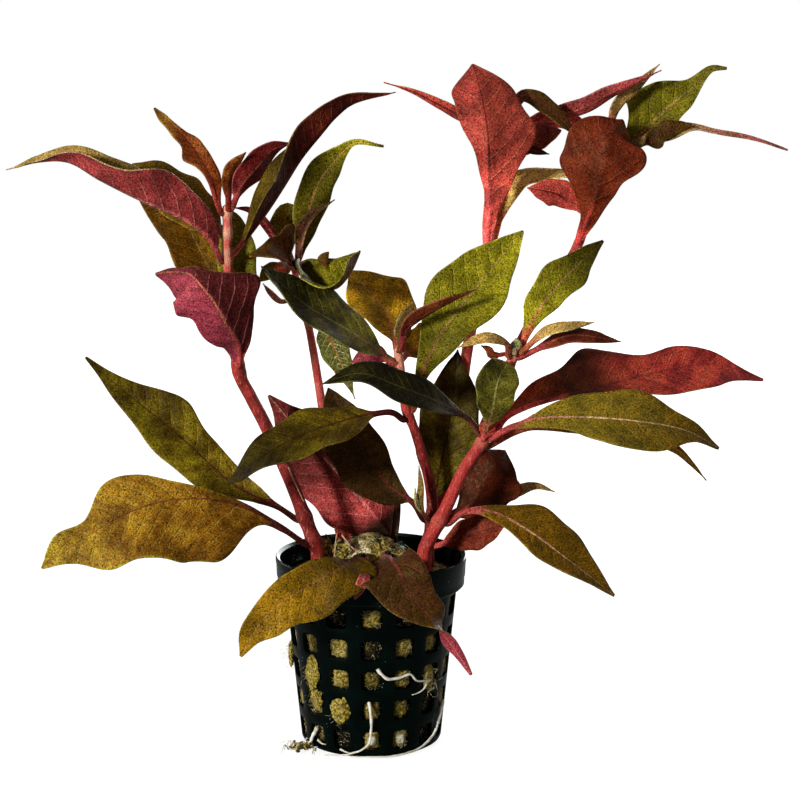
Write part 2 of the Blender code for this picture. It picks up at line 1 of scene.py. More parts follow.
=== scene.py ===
"""Alternanthera reineckii in its black net pot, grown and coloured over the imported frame.

Six stems rise from a wool plug and carry lance-shaped leaves, olive above and wine red below.
Sizes in the tables are millimetres and become metres on their way into a mesh. The points of
the stems and leaves repeat those of the part's source.
"""
import logging
import math
from collections.abc import Callable
from dataclasses import dataclass, replace
from enum import Enum

import bpy
import numpy as np
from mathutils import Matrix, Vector, noise


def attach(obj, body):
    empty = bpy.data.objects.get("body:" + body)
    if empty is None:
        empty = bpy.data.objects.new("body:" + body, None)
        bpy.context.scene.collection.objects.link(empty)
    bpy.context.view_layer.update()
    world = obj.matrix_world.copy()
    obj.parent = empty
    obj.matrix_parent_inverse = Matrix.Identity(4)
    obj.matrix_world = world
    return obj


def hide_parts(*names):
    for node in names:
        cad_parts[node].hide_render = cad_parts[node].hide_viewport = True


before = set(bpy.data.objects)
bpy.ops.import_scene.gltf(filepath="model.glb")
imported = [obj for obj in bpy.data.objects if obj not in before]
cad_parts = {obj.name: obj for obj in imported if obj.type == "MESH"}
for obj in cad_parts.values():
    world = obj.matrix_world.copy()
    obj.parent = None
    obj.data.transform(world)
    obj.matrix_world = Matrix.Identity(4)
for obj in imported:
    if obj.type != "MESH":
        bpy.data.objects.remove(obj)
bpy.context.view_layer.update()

Array = np.ndarray
Colour = tuple[float, float, float]
Thing = bpy.types.Object
Material = bpy.types.Material
Socket = bpy.types.NodeSocket
# What an input of a node takes
Value = Socket | float | tuple | None

log = logging.getLogger("potted_alternanthera")

MM = 0.001
DEGREES_PER_RADIAN = 57.3
BODY = "root"
SEED = 11

# The eye that the leaves were laid out for, in millimetres
EYE = np.array((7.6, -500.0, 172.0))
CURVE_SAMPLES = 16
LINE_STEPS = 200

# A leaf's bare stalk, its blade as the source has it, and the parts of the finer blade here
STALK_HALF_WIDTH = 0.75
BLADE_THICKNESS = 0.55
THICKEST = 1.6
SKIN_THICKNESS = 0.3
RIB_THICKNESS = 0.85
EDGE_WAVES = 2.5

# Length of a row of a leaf's grid, width of a column, the fewest and most of them, and the
# spacing, slant and curve of its side veins
LEAF_ROW = 0.62
LEAF_ROWS = (16, 150)
LEAF_COLUMN = 1.6
HALF_COLUMNS = (3, 12)
VEIN_SPACING = (1.8, 4.6)
VEIN_SLANT = 0.8
VEIN_CURVE = 0.018

# How far a leaf's edge strays, its face rises between two veins, and its edge flutters
EDGE_STRAY = 0.05
PILLOW = 0.3
FLUTTER = 0.45

# Length of a row of a stem's grid, its faces around, and how far a joint's swelling reaches
STEM_ROW = 0.7
STEM_SIDES = 20
JOINT_REACH = 1.6

# How close points are to be one, and how the source keeps stems and leaves off the wool
SEAM = 0.02
GAP = 0.3
STEM_FOOT_LIFT = GAP + 0.5
STEM_FIRST_STEP = 1.0

# The wool's top: its height at the edge, and the height and spread of the mound on it
PLUG_EDGE_HEIGHT = 44.0
PLUG_MOUND = 10.5
PLUG_MOUND_SPREAD = 11.0

# Edges of the pot that turn by more degrees stay crisp, and by yet more are rounded
CRISP_ANGLE = 35
ROUNDED_ANGLE = 50


def plug_top(radius: float) -> float:
    """Height of the wool at a distance from the pot's axis."""
    return PLUG_EDGE_HEIGHT + PLUG_MOUND * math.exp(-(radius / PLUG_MOUND_SPREAD) ** 2)


def unit(vectors: Array) -> Array:
    """Vectors of length one."""
    return vectors / np.linalg.norm(vectors, axis=-1, keepdims=True)


def seen(points: tuple) -> Array:
    """Points that look to be at (x, z) on the axis plane, moved along their sight lines.

    Args:
        points: rows of x, z and depth behind the axis, in millimetres.

    Returns:
        The same points as rows of x, y and z.
    """
    x, z, depth = np.array(points, dtype=float).T
    share = (depth - EYE[1]) / -EYE[1]
    return np.stack((EYE[0] + (x - EYE[0]) * share, depth, EYE[2] + (z - EYE[2]) * share), axis=1)


def between(a: Array, b: Array, c: Array, d: Array, t: Array) -> Array:
    """Where a smooth curve through a, b, c and d is at a share t of its way from b to c."""
    return 0.5 * (2 * b + (c - a) * t + (2 * a - 5 * b + 4 * c - d) * t * t
                  + (3 * b - a - 3 * c + d) * t ** 3)


def smooth_way(points: Array, steps: int) -> Array:
    """Points at even distances along a smooth curve through the given points.

    Args:
        points: rows that the curve runs through.
        steps: number of even steps.

    Returns:
        steps + 1 rows.
    """
    p = np.asarray(points, dtype=float)
    p = np.concatenate((2 * p[:1] - p[1:2], p, 2 * p[-1:] - p[-2:-1]))
    t = (np.arange(CURVE_SAMPLES) / CURVE_SAMPLES)[:, None]
    dense = [between(*corners, t) for corners in zip(p, p[1:], p[2:], p[3:])]
    dense = np.concatenate(dense + [p[-2:-1]])
    along = np.concatenate(([0], np.cumsum(np.linalg.norm(np.diff(dense, axis=0), axis=1))))
    even = np.linspace(0, along[-1], steps + 1)
    return np.stack([np.interp(even, along, dense[:, axis]) for axis in range(p.shape[1])], axis=1)


def smooth_values(values: tuple, shares: Array) -> Array:
    """Values given at even distances from 0 to 1, read smoothly at the given shares.

    Args:
        values: the values.
        shares: where to read them.

    Returns:
        A value for each share.
    """
    p = np.concatenate(([2 * values[0] - values[1]], values, [2 * values[-1] - values[-2]]))
    place = np.clip(shares, 0, 1) * (len(values) - 1)
    index = np.minimum(place.astype(int), len(values) - 2)
    return between(p[index], p[index + 1], p[index + 2], p[index + 3], place - index)


def values_at(values: tuple, shares: Array) -> Array:
    """Values given at even distances from 0 to 1, read in straight lines at the given shares."""
    return np.interp(shares, np.linspace(0, 1, len(values)), values)


def bump(distance: Array, width: float) -> Array:
    """A soft bump that is 1 at distance 0 and dies away over the width."""
    return np.exp(-(distance / width) ** 2)


def rough(points: Array, cell: float, seed: int) -> Array:
    """Smooth noise from about -1 to 1 at points in millimetres, with lumps of the cell's size."""
    shift = Vector((seed * 7.3, seed * 3.1, seed * 1.7))
    return np.array([noise.noise(Vector(point) / cell + shift) for point in points])


def add_shape(name: str, operator: Callable, **options) -> Thing:
    """Add one of the plain shapes under a name of its own.

    Args:
        name: name of the piece.
        operator: what adds the shape.
        options: its settings.

    Returns:
        The piece.
    """
    bpy.ops.object.select_all(action="DESELECT")
    operator(**options)
    thing = bpy.context.object
    thing.name = thing.data.name = name
    return thing


def read_points(thing: Thing) -> Array:
    """Read where an object's vertices are.

    Args:
        thing: the object.

    Returns:
        Rows of x, y and z in the mesh's own units.
    """
    flat = np.empty(len(thing.data.vertices) * 3)
    thing.data.vertices.foreach_get("co", flat)
    return flat.reshape(-1, 3)


def flat_sheet(name: str, columns: int, rows: int) -> tuple[Thing, Array, Array]:
    """Add a flat grid to be laid into shape.

    Args:
        name: name of the piece.
        columns: faces across.
        rows: faces along.

    Returns:
        The piece, and for each vertex its place across, -1 to 1, and along, 0 to 1.
    """
    thing = add_shape(name, bpy.ops.mesh.primitive_grid_add,
                      x_subdivisions=columns, y_subdivisions=rows, size=2)
    flat = read_points(thing)
    return thing, flat[:, 0], (flat[:, 1] + 1) / 2


def place_points(thing: Thing, points: Array) -> None:
    """Put an object's vertices at points given in millimetres."""
    thing.data.vertices.foreach_set("co", (points * MM).ravel())
    thing.data.update()


def note(thing: Thing, name: str, values: Array) -> None:
    """Store a number or a vector for each vertex, for the materials to read.

    Args:
        thing: the piece.
        name: what the materials ask for.
        values: a number or a row of three for each vertex.
    """
    kind, field = ("FLOAT_VECTOR", "vector") if values.ndim == 2 else ("FLOAT", "value")
    store = thing.data.attributes.new(name, kind, "POINT")
    store.data.foreach_set(field, values.astype(np.float32).ravel())


def pick(thing: Thing) -> None:
    """Make an object the only selected and active one.

    Args:
        thing: the object.
    """
    bpy.ops.object.select_all(action="DESELECT")
    thing.select_set(True)
    bpy.context.view_layer.objects.active = thing


def close_seams(thing: Thing, reach: float) -> None:
    """Merge vertices closer than reach, in millimetres, and turn all faces outwards.

    Args:
        thing: the piece.
        reach: the distance.
    """
    pick(thing)
    bpy.ops.object.mode_set(mode="EDIT")
    bpy.ops.mesh.select_all(action="SELECT")
    bpy.ops.mesh.remove_doubles(threshold=reach * MM)
    bpy.ops.mesh.normals_make_consistent(inside=False)
    bpy.ops.object.mode_set(mode="OBJECT")


def apply_modifiers(thing: Thing) -> None:
    """Apply an object's modifiers in order.

    Args:
        thing: the object.
    """
    pick(thing)
    for modifier in list(thing.modifiers):
        bpy.ops.object.modifier_apply(modifier=modifier.name)


def from_lists(name: str, points: Array, faces: list) -> Thing:
    """A piece from points in millimetres and faces.

    Args:
        name: name of the piece.
        points: rows of x, y and z.
        faces: for each face, the places of its points in those rows.

    Returns:
        The piece.
    """
    mesh = bpy.data.meshes.new(name)
    mesh.from_pydata((np.asarray(points) * MM).tolist(), [], faces)
    mesh.update()
    thing = bpy.data.objects.new(name, mesh)
    bpy.context.scene.collection.objects.link(thing)
    return thing


def faces_between(first: int, count: int) -> list:
    """The faces between a ring of count points that begins at first and the ring after it.

    Args:
        first: place of the ring's first point.
        count: points in each ring.

    Returns:
        A face of four points for each point of the ring.
    """
    faces = []
    for index in range(count):
        after = (index + 1) % count
        faces.append((first + index, first + after, first + count + after, first + count + index))
    return faces


def make_tubes(name: str, lines: list, radii: list, sides: int) -> Thing:
    """Many closed tubes as one piece, such as roots or fibres.

    Args:
        name: name of the piece.
        lines: for each tube, rows of points along it in millimetres.
        radii: for each tube, the radius at each of its points.
        sides: faces around.

    Returns:
        The joined piece.
    """
    points, faces = [], []
    start = 0
    turns = np.arange(sides) / sides * math.tau
    for line, radius in zip(lines, radii):
        count = len(line)
        way = unit(np.gradient(line, axis=0))
        aside = unit(np.cross(way, np.array((0.31, 0.42, 0.85))))
        other = np.cross(way, aside)
        ring = aside[:, None] * np.cos(turns)[None, :, None] + other[:, None] * np.sin(turns)[None, :, None]
        points.append((line[:, None] + ring * np.asarray(radius)[:, None, None]).reshape(-1, 3))
        for step in range(count - 1):
            faces += faces_between(start + step * sides, sides)
        faces.append(tuple(range(start + sides - 1, start - 1, -1)))
        faces.append(tuple(range(start + (count - 1) * sides, start + count * sides)))
        start += count * sides
    return from_lists(name, np.concatenate(points), faces)


def settle(thing: Thing, material: Material | None, nodes: tuple = (),
           edges: bool = False) -> None:
    """Smooth and colour a piece, tie it to the frame and report it.

    Args:
        thing: the finished piece.
        material: its material, or None if it already has its materials.
        nodes: the source's nodes that it stands for.
        edges: whether its edges stay crisp.
    """
    pick(thing)
    if edges:
        bpy.ops.object.shade_smooth_by_angle(angle=math.radians(CRISP_ANGLE))
    else:
        bpy.ops.object.shade_smooth()
    if material:
        thing.data.materials.append(material)
    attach(thing, BODY)
    if nodes:
        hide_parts(*nodes)
    log.info("%s: %d faces", thing.name, len(thing.data.polygons))


class Paint:
    """Shader nodes of one material, added and linked by short calls."""

    def __init__(self, name: str, roughness: float, specular: float,
                 tint: Colour = (1.0, 1.0, 1.0)) -> None:
        """Start a material with its gloss.

        Args:
            name: name of the material.
            roughness: 0 for a mirror to 1 for chalk.
            specular: how strongly it mirrors.
            tint: colour of what it mirrors.
        """
        self.material = bpy.data.materials.new(name)
        self.material.use_nodes = True
        self.nodes = self.material.node_tree.nodes
        self.links = self.material.node_tree.links
        self.shader = self.nodes["Principled BSDF"]
        self.shader.inputs["Roughness"].default_value = roughness
        self.shader.inputs["Specular IOR Level"].default_value = specular
        self.shader.inputs["Specular Tint"].default_value = (*tint, 1)

    def node(self, kind: str, inputs: dict, **options) -> bpy.types.Node:
        """Add a node.

        Args:
            kind: type of the node.
            inputs: a value or a socket for each input, by its name or place.
            options: settings of the node.

        Returns:
            The node.
        """
        node = self.nodes.new(kind)
        for key, value in options.items():
            setattr(node, key, value)
        for key, value in inputs.items():
            self.feed(node.inputs[key], value)
        return node

    def feed(self, socket: Socket, value: Value) -> None:
        """Link a socket to an input, or set its value.

        Args:
            socket: the input.
            value: a socket, a number, a colour or a vector.
        """
        if isinstance(value, Socket):
            self.links.new(value, socket)
        elif socket.type == "RGBA":
            socket.default_value = (*value, 1)
        else:
            socket.default_value = value

    def number(self, name: str) -> Socket:
        """A number noted on the mesh."""
        return self.node("ShaderNodeAttribute", {}, attribute_name=name).outputs["Fac"]

    def vector(self, name: str) -> Socket:
        """A vector noted on the mesh."""
        return self.node("ShaderNodeAttribute", {}, attribute_name=name).outputs["Vector"]

    def spot(self, stretch: tuple = (1, 1, 1)) -> Socket:
        """Place on the object, stretched for a grain that runs one way."""
        place = self.node("ShaderNodeTexCoord", {}).outputs["Object"]
        return self.node("ShaderNodeMapping", {"Vector": place, "Scale": stretch}).outputs[0]

    def math(self, operation: str, a: Value, b: Value = 0.0, clamp: bool = False) -> Socket:
        """One sum."""
        return self.node("ShaderNodeMath", {0: a, 1: b}, operation=operation, use_clamp=clamp).outputs[0]

    def times(self, a: Value, b: Value) -> Socket:
        """a times b."""
        return self.math("MULTIPLY", a, b)

    def times_plus(self, a: Value, b: Value, c: Value) -> Socket:
        """a times b plus c."""
        return self.node("ShaderNodeMath", {0: a, 1: b, 2: c}, operation="MULTIPLY_ADD").outputs[0]

    def stray(self, base: Value, noise: Socket, reach: float) -> Socket:
        """A number that strays from its base both ways by a noise about 0.5."""
        return self.times_plus(self.math("SUBTRACT", noise, 0.5), reach, base)

    def noise(self, place: Socket, scale: float, detail: float = 2.0) -> Socket:
        """Noise about 0.5, with lumps of 1 / scale metres."""
        inputs = {"Vector": place, "Scale": scale, "Detail": detail}
        return self.node("ShaderNodeTexNoise", inputs).outputs["Fac"]

    def cells(self, place: Socket, scale: float, feature: str = "F1") -> Socket:
        """Distance to the middle, or to the edge, of cells 1 / scale metres wide."""
        inputs = {"Vector": place, "Scale": scale}
        return self.node("ShaderNodeTexVoronoi", inputs, feature=feature).outputs["Distance"]

    def ramp(self, value: Value, low: float, high: float, start: float = 0.0,
             end: float = 1.0) -> Socket:
        """A soft step from start at low to end at high."""
        inputs = {0: value, 1: low, 2: high, 3: start, 4: end}
        return self.node("ShaderNodeMapRange", inputs, interpolation_type="SMOOTHSTEP").outputs[0]

    def mix(self, share: Value, a: Value, b: Value) -> Socket:
        """Colour a where the share is 0 and b where it is 1."""
        return self.node("ShaderNodeMix", {0: share, 6: a, 7: b}, data_type="RGBA").outputs[2]

    def scaled(self, colour: Value, share: Value) -> Socket:
        """A colour times a number."""
        return self.node("ShaderNodeVectorMath", {0: colour, "Scale": share}, operation="SCALE").outputs[0]

    def relief(self, height: Value, depth: float) -> None:
        """Raise the surface by a height from 0 to 1, times a depth in millimetres.

        Args:
            height: the height.
            depth: the depth.
        """
        inputs = {"Height": height, "Distance": depth * MM, "Strength": 1.0}
        normal = self.node("ShaderNodeBump", inputs).outputs[0]
        self.links.new(normal, self.shader.inputs["Normal"])

    def finish(self, colour: Value, roughness: Value = None) -> Material:
        """Link the colour, and the roughness if it varies, and give the material back.

        Args:
            colour: a socket or a colour.
            roughness: a socket, or None.

        Returns:
            The material.
        """
        self.feed(self.shader.inputs["Base Color"], colour)
        if roughness:
            self.feed(self.shader.inputs["Roughness"], roughness)
        return self.material


@dataclass(frozen=True)
class LeafSkin:
    """Colours and gloss of one face of a leaf.

    main and second: colours that drift into each other by each leaf's tone.
    vein, rib, stalk and margin: colours of the side veins, the midrib, the bare stalk and the edge.
    vein_share: how strongly the side veins show.
    margin_width: millimetres of the edge that have its colour.
    mottle: how far the two colours are mixed.
    roughness: 0 for a mirror to 1 for chalk.
    shade: light left in the darkest patches.
    raised: whether the side veins stand out rather than lie sunk.
    """
    main: Colour
    second: Colour
    vein: Colour
    rib: Colour
    stalk: Colour
    margin: Colour
    vein_share: float = 0.35
    margin_width: float = 0.22
    mottle: float = 0.9
    roughness: float = 0.5
    shade: float = 0.45
    raised: bool = False

    def material(self, name: str) -> Material:
        """The face's material: mottled blade, side veins, midrib, edge, grain, and painted shade and light.

        Args:
            name: name of the material.

        Returns:
            The material.
        """
        paint = Paint(name, self.roughness, 0.18, (1.0, 0.72, 0.4))
        place = paint.node("ShaderNodeSeparateXYZ", {0: paint.vector("place")}).outputs
        share, tone, dark = (paint.number(key) for key in ("share", "tone", "dark"))
        spot = paint.spot()
        drift = paint.noise(spot, 160, 3)
        cloud = paint.noise(spot, 700, 3)
        grain = paint.noise(spot, 2600, 2)
        run = paint.node("ShaderNodeMapping", {"Vector": paint.vector("place"), "Scale": (1.7, 0.16, 0.0)})
        streak = paint.noise(run.outputs[0], 1.0, 4)
        drifted = paint.stray(tone, drift, self.mottle * 2)
        drifted = paint.stray(paint.stray(drifted, cloud, 0.9), streak, 0.9)
        colour = paint.mix(paint.math("ADD", drifted, 0.0, True), self.main, self.second)
        netted = paint.ramp(paint.cells(spot, 800.0, "DISTANCE_TO_EDGE"), 0.12, 0.0)
        across = paint.math("ABSOLUTE", place[1])
        wobble = paint.stray(place[0], drift, 0.5)
        line = paint.ramp(paint.math("PINGPONG", wobble, 0.5), 0.075, 0.02)
        line = paint.times(line, paint.ramp(place[2], 0.4, 2.5))
        veined = paint.times(line, paint.ramp(streak, 0.35, 0.65, 0.3, self.vein_share * 1.4))
        veined = paint.times_plus(netted, self.vein_share * 0.25, veined)
        colour = paint.mix(veined, colour, self.vein)
        rib_width = paint.ramp(share, 0.0, 1.0, 0.5, 0.1)
        rib = paint.ramp(paint.math("DIVIDE", across, rib_width), 1.25, 0.6)
        rib_colour = paint.mix(paint.ramp(share, 0.1, 0.5), self.stalk, self.rib)
        edge = paint.ramp(paint.times_plus(cloud, 0.3, place[2]), self.margin_width + 0.2, 0.2)
        edge = paint.times(edge, paint.ramp(across, 0.9, 1.6, 0.0, 0.6))
        colour = paint.mix(edge, colour, self.margin)
        stalk = paint.ramp(paint.math("ADD", across, place[2]), 2.0, 1.1)
        stalk = paint.times(stalk, paint.ramp(share, 0.4, 0.25))
        colour = paint.mix(paint.math("MAXIMUM", rib, stalk), colour, rib_colour)
        light = paint.times_plus(grain, 4.4, -1.15)
        patches = paint.ramp(paint.times_plus(streak, 0.35, drift), 0.5, 0.85, self.shade, 1.15)
        # Painted shade and painted light: each leaf's noted values darken the blade, or brighten it where
        # below 0.
        light = paint.times(paint.times(light, patches), paint.math("SUBTRACT", 1.0, dark))
        sign = 1 if self.raised else -1
        height = paint.times_plus(line, 0.5 * sign, paint.times(cloud, 0.6))
        height = paint.times_plus(netted, 0.15 * sign, height)
        paint.relief(paint.times_plus(grain, 0.25, height), 0.3)
        return paint.finish(paint.scaled(colour, light),
                            paint.ramp(cloud, 0.3, 0.7, self.roughness - 0.1, self.roughness + 0.12))


PINK = (0.5, 0.07, 0.06)
OLIVE = LeafSkin((0.22, 0.115, 0.003), (0.12, 0.045, 0.002), (0.3, 0.17, 0.012), (0.3, 0.13, 0.03),
                 (0.3, 0.07, 0.03), (0.32, 0.22, 0.03))
GREEN = LeafSkin((0.235, 0.205, 0.007), (0.1, 0.078, 0.003), (0.3, 0.27, 0.03), (0.34, 0.2, 0.06),
                 (0.33, 0.07, 0.03), (0.36, 0.36, 0.06))
TAN = replace(OLIVE, main=(0.34, 0.22, 0.05), second=(0.15, 0.06, 0.01),
              vein=(0.45, 0.33, 0.1), rib=(0.35, 0.2, 0.07), margin=(0.55, 0.42, 0.2))
WINE = LeafSkin((0.29, 0.022, 0.019), (0.16, 0.035, 0.006), (0.42, 0.08, 0.06),
                (0.14, 0.018, 0.012), PINK, (0.24, 0.1, 0.025), vein_share=0.4, raised=True)


class Skin(Enum):
    """The faces that leaves of this plant show, from olive green to wine red."""
    OLIVE = OLIVE
    RIBBED_OLIVE = replace(OLIVE, rib=(0.6, 0.33, 0.2), stalk=PINK)
    BROAD_OLIVE = replace(OLIVE, main=(0.24, 0.175, 0.012), second=(0.13, 0.065, 0.003),
                          rib=(0.6, 0.36, 0.2), stalk=PINK)
    DEEP_OLIVE = replace(OLIVE, main=(0.12, 0.072, 0.002), second=(0.2, 0.165, 0.006),
                         rib=(0.07, 0.03, 0.006), stalk=(0.12, 0.012, 0.01))
    GREEN = GREEN
    DARK_GREEN = replace(GREEN, main=(0.022, 0.02, 0.002), second=(0.12, 0.1, 0.008),
                         vein=(0.16, 0.17, 0.03), rib=(0.26, 0.24, 0.07), stalk=(0.25, 0.08, 0.04),
                         margin=(0.34, 0.34, 0.1), margin_width=0.3, vein_share=0.65)
    STREAKED = replace(GREEN, main=(0.18, 0.19, 0.02), second=(0.05, 0.05, 0.003),
                       vein=(0.75, 0.75, 0.4), vein_share=0.8, mottle=1.6)
    GOLD = replace(OLIVE, main=(0.3, 0.115, 0.006), second=(0.34, 0.22, 0.014),
                   vein=(0.45, 0.3, 0.05), rib=(0.2, 0.07, 0.015), stalk=(0.1, 0.015, 0.01),
                   margin=(0.42, 0.36, 0.03), margin_width=0.6)
    TAN = TAN
    PALE = replace(GREEN, main=(0.55, 0.5, 0.2), second=(0.4, 0.36, 0.1), rib=(0.6, 0.5, 0.22),
                   stalk=(0.6, 0.4, 0.22), margin=(0.6, 0.55, 0.28))
    RUST = replace(OLIVE, main=(0.28, 0.05, 0.008), second=(0.2, 0.12, 0.012),
                   vein=(0.09, 0.015, 0.004), rib=(0.13, 0.02, 0.006), stalk=(0.4, 0.05, 0.035))
    BROWN = replace(OLIVE, main=(0.17, 0.08, 0.008), second=(0.05, 0.014, 0.004),
                    vein=(0.22, 0.05, 0.03), rib=(0.2, 0.04, 0.025), stalk=PINK,
                    margin=(0.28, 0.16, 0.03), vein_share=0.35)
    MAROON = replace(WINE, main=(0.09, 0.007, 0.005), second=(0.15, 0.04, 0.008),
                     vein=(0.2, 0.022, 0.018), rib=(0.25, 0.05, 0.03), stalk=(0.4, 0.05, 0.05),
                     margin=(0.4, 0.12, 0.08), margin_width=0.2)
    CRIMSON = replace(WINE, main=(0.18, 0.011, 0.012), second=(0.34, 0.05, 0.05),
                      vein=(0.1, 0.006, 0.005), rib=(0.4, 0.08, 0.06), margin=(0.6, 0.2, 0.17),
                      margin_width=0.25)
    MAGENTA = replace(WINE, main=(0.38, 0.045, 0.072), second=(0.075, 0.008, 0.008),
                      vein=(0.55, 0.14, 0.15), rib=(0.5, 0.14, 0.08), margin=(0.4, 0.18, 0.1),
                      vein_share=0.28)
    CERISE = replace(WINE, main=(0.36, 0.042, 0.04), second=(0.2, 0.022, 0.018),
                     vein=(0.6, 0.2, 0.17), rib=(0.6, 0.24, 0.2), stalk=(0.5, 0.07, 0.08),
                     margin=(0.62, 0.3, 0.25), margin_width=0.3)
    WINE = WINE
    COPPER = replace(WINE, main=(0.2, 0.024, 0.007), second=(0.13, 0.027, 0.006),
                     vein=(0.27, 0.05, 0.02), rib=(0.18, 0.035, 0.012), stalk=(0.46, 0.045, 0.04))
    ROSE = replace(WINE, main=(0.42, 0.05, 0.038), second=(0.24, 0.03, 0.016),
                   vein=(0.5, 0.12, 0.07), rib=(0.13, 0.014, 0.01))
    BLUSHED = replace(TAN, main=(0.4, 0.26, 0.06), second=(0.5, 0.13, 0.1),
                      rib=(0.5, 0.2, 0.12), margin=(0.6, 0.4, 0.22))


@dataclass(frozen=True)
class StemRind:
    """Crimson to pink rind with pale lengthwise scratches, paler at the young joints."""
    crimson: Colour = (0.11, 0.008, 0.007)
    red: Colour = (0.46, 0.042, 0.034)
    pink: Colour = (0.68, 0.16, 0.12)
    young: Colour = (0.75, 0.36, 0.22)
    scratched: Colour = (0.75, 0.3, 0.2)
    tint: Colour = (1.0, 0.6, 0.5)

    def material(self) -> Material:
        """The rind, by the numbers "tone" and "joint" noted on a stem.

        Returns:
            The material.
        """
        paint = Paint("stem_rind", 0.5, 0.22, self.tint)
        tone, joint = paint.number("tone"), paint.number("joint")
        cloud = paint.noise(paint.spot(), 260, 3)
        scratch = paint.noise(paint.spot((1, 1, 0.22)), 2400, 3)
        share = paint.stray(tone, cloud, 0.7)
        colour = paint.mix(paint.ramp(share, 0.0, 0.5), self.crimson, self.red)
        colour = paint.mix(paint.ramp(share, 0.6, 1.0), colour, self.pink)
        young = paint.times(paint.ramp(joint, 2.2, 0.3, 0.0, 0.9), paint.ramp(tone, 0.35, 0.9))
        colour = paint.mix(young, colour, self.young)
        colour = paint.mix(paint.ramp(scratch, 0.58, 0.7, 0.0, 0.45), colour, self.scratched)
        paint.relief(paint.times_plus(cloud, 0.4, scratch), 0.25)
        light = paint.times_plus(paint.noise(paint.spot(), 2600, 2), 2.2, -0.1)
        return paint.finish(paint.scaled(colour, light), paint.ramp(cloud, 0.3, 0.7, 0.4, 0.6))


@dataclass
class Stem:
    """A stem of the plant. name, radius, way and top_share are those of the source.

    way: points (x, z, depth) as seen on the plane of the pot's axis.
    pink: how far the colour goes from dark crimson to pale pink, from the foot to the top.
    top_share: radius at the top as a share of that at the foot.
    sink: how deep it begins in the wool.
    swelling: how much thicker it is at its joints.
    dome_share: height of its rounded end as a share of its radius.
    """
    name: str
    radius: float
    way: tuple
    pink: tuple = (0.3, 0.5)
    top_share: float = 0.6
    sink: float = 6.0
    swelling: float = 0.2
    dome_share: float = 0.6

    def line(self, steps: int) -> Array:
        """The centre line as even points, from the wool to the top.

        Args:
            steps: number of even steps.

        Returns:
            steps + 1 rows in millimetres.
        """
        points = seen(self.way)
        foot = points[0].copy()
        foot[2] = plug_top(math.hypot(foot[0], foot[1])) + STEM_FOOT_LIFT
        if points[0][2] - foot[2] < STEM_FIRST_STEP:
            points = points[1:]
        return smooth_way(np.concatenate((foot[None], points)), steps)

    def radius_at(self, share: Array) -> Array:
        """Radius at a share of the length."""
        return self.radius * (1 - (1 - self.top_share) * np.clip(share, 0, 1) ** 1.5)

    def build(self, joints: list) -> Thing:
        """The stem as a ridged tube that swells where leaves leave it.

        Args:
            joints: points in millimetres where leaves grow from the stem.

        Returns:
            The stem.
        """
        line = self.line(LINE_STEPS)
        length = np.linalg.norm(np.diff(line, axis=0), axis=1).sum()
        down = unit(line[0] - line[3])
        up = unit(line[-1] - line[-4])
        dome = self.radius * self.dome_share
        line = np.concatenate(((line[0] + down * self.sink)[None], line, (line[-1] + up * dome)[None]))
        rows = round(length / STEM_ROW)
        way = smooth_way(line, rows)
        along = np.linspace(-self.sink, length + dome, rows + 1)
        radius = self.radius_at(along / length)
        nearest = np.full(rows + 1, 99.0)
        for joint in joints:
            distance = np.abs(along - along[np.argmin(np.linalg.norm(way - joint, axis=1))])
            nearest = np.minimum(nearest, distance)
        radius = radius * (1 + self.swelling * bump(nearest, JOINT_REACH))
        ends = np.clip(np.minimum(along + self.sink, along[-1] - along) / self.radius, 0, 1)
        radius = radius * np.sqrt(1 - (1 - ends) ** 2)
        thing, across, share = flat_sheet(self.name + "_rind", STEM_SIDES, rows)
        row = np.rint(share * rows).astype(int)
        turn = (across + 1) * math.pi
        tangent = unit(np.gradient(way, axis=0))
        aside = unit(np.cross(tangent, (0.0, 1.0, 0.0)))
        other = np.cross(tangent, aside)
        bumps = 1 + 0.035 * np.cos(turn * 6) + 0.03 * np.cos(turn * 2 + along[row] / 9)
        out = aside[row] * np.cos(turn)[:, None] - other[row] * np.sin(turn)[:, None]
        place_points(thing, way[row] + out * (radius[row] * bumps)[:, None])
        note(thing, "joint", nearest[row])
        note(thing, "tone", values_at(self.pink, along[row] / length))
        close_seams(thing, SEAM / 2)
        return thing


class LeafPress:
    """Keeps one material for each skin that the leaves show."""
    made: dict = {}

    @classmethod
    def material(cls, look: Skin) -> Material:
        """The material of a skin, made the first time that it is asked for.

        Args:
            look: the skin.

        Returns:
            Its material.
        """
        if look not in cls.made:
            cls.made[look] = look.value.material("leaf_" + look.name.lower())
        return cls.made[look]


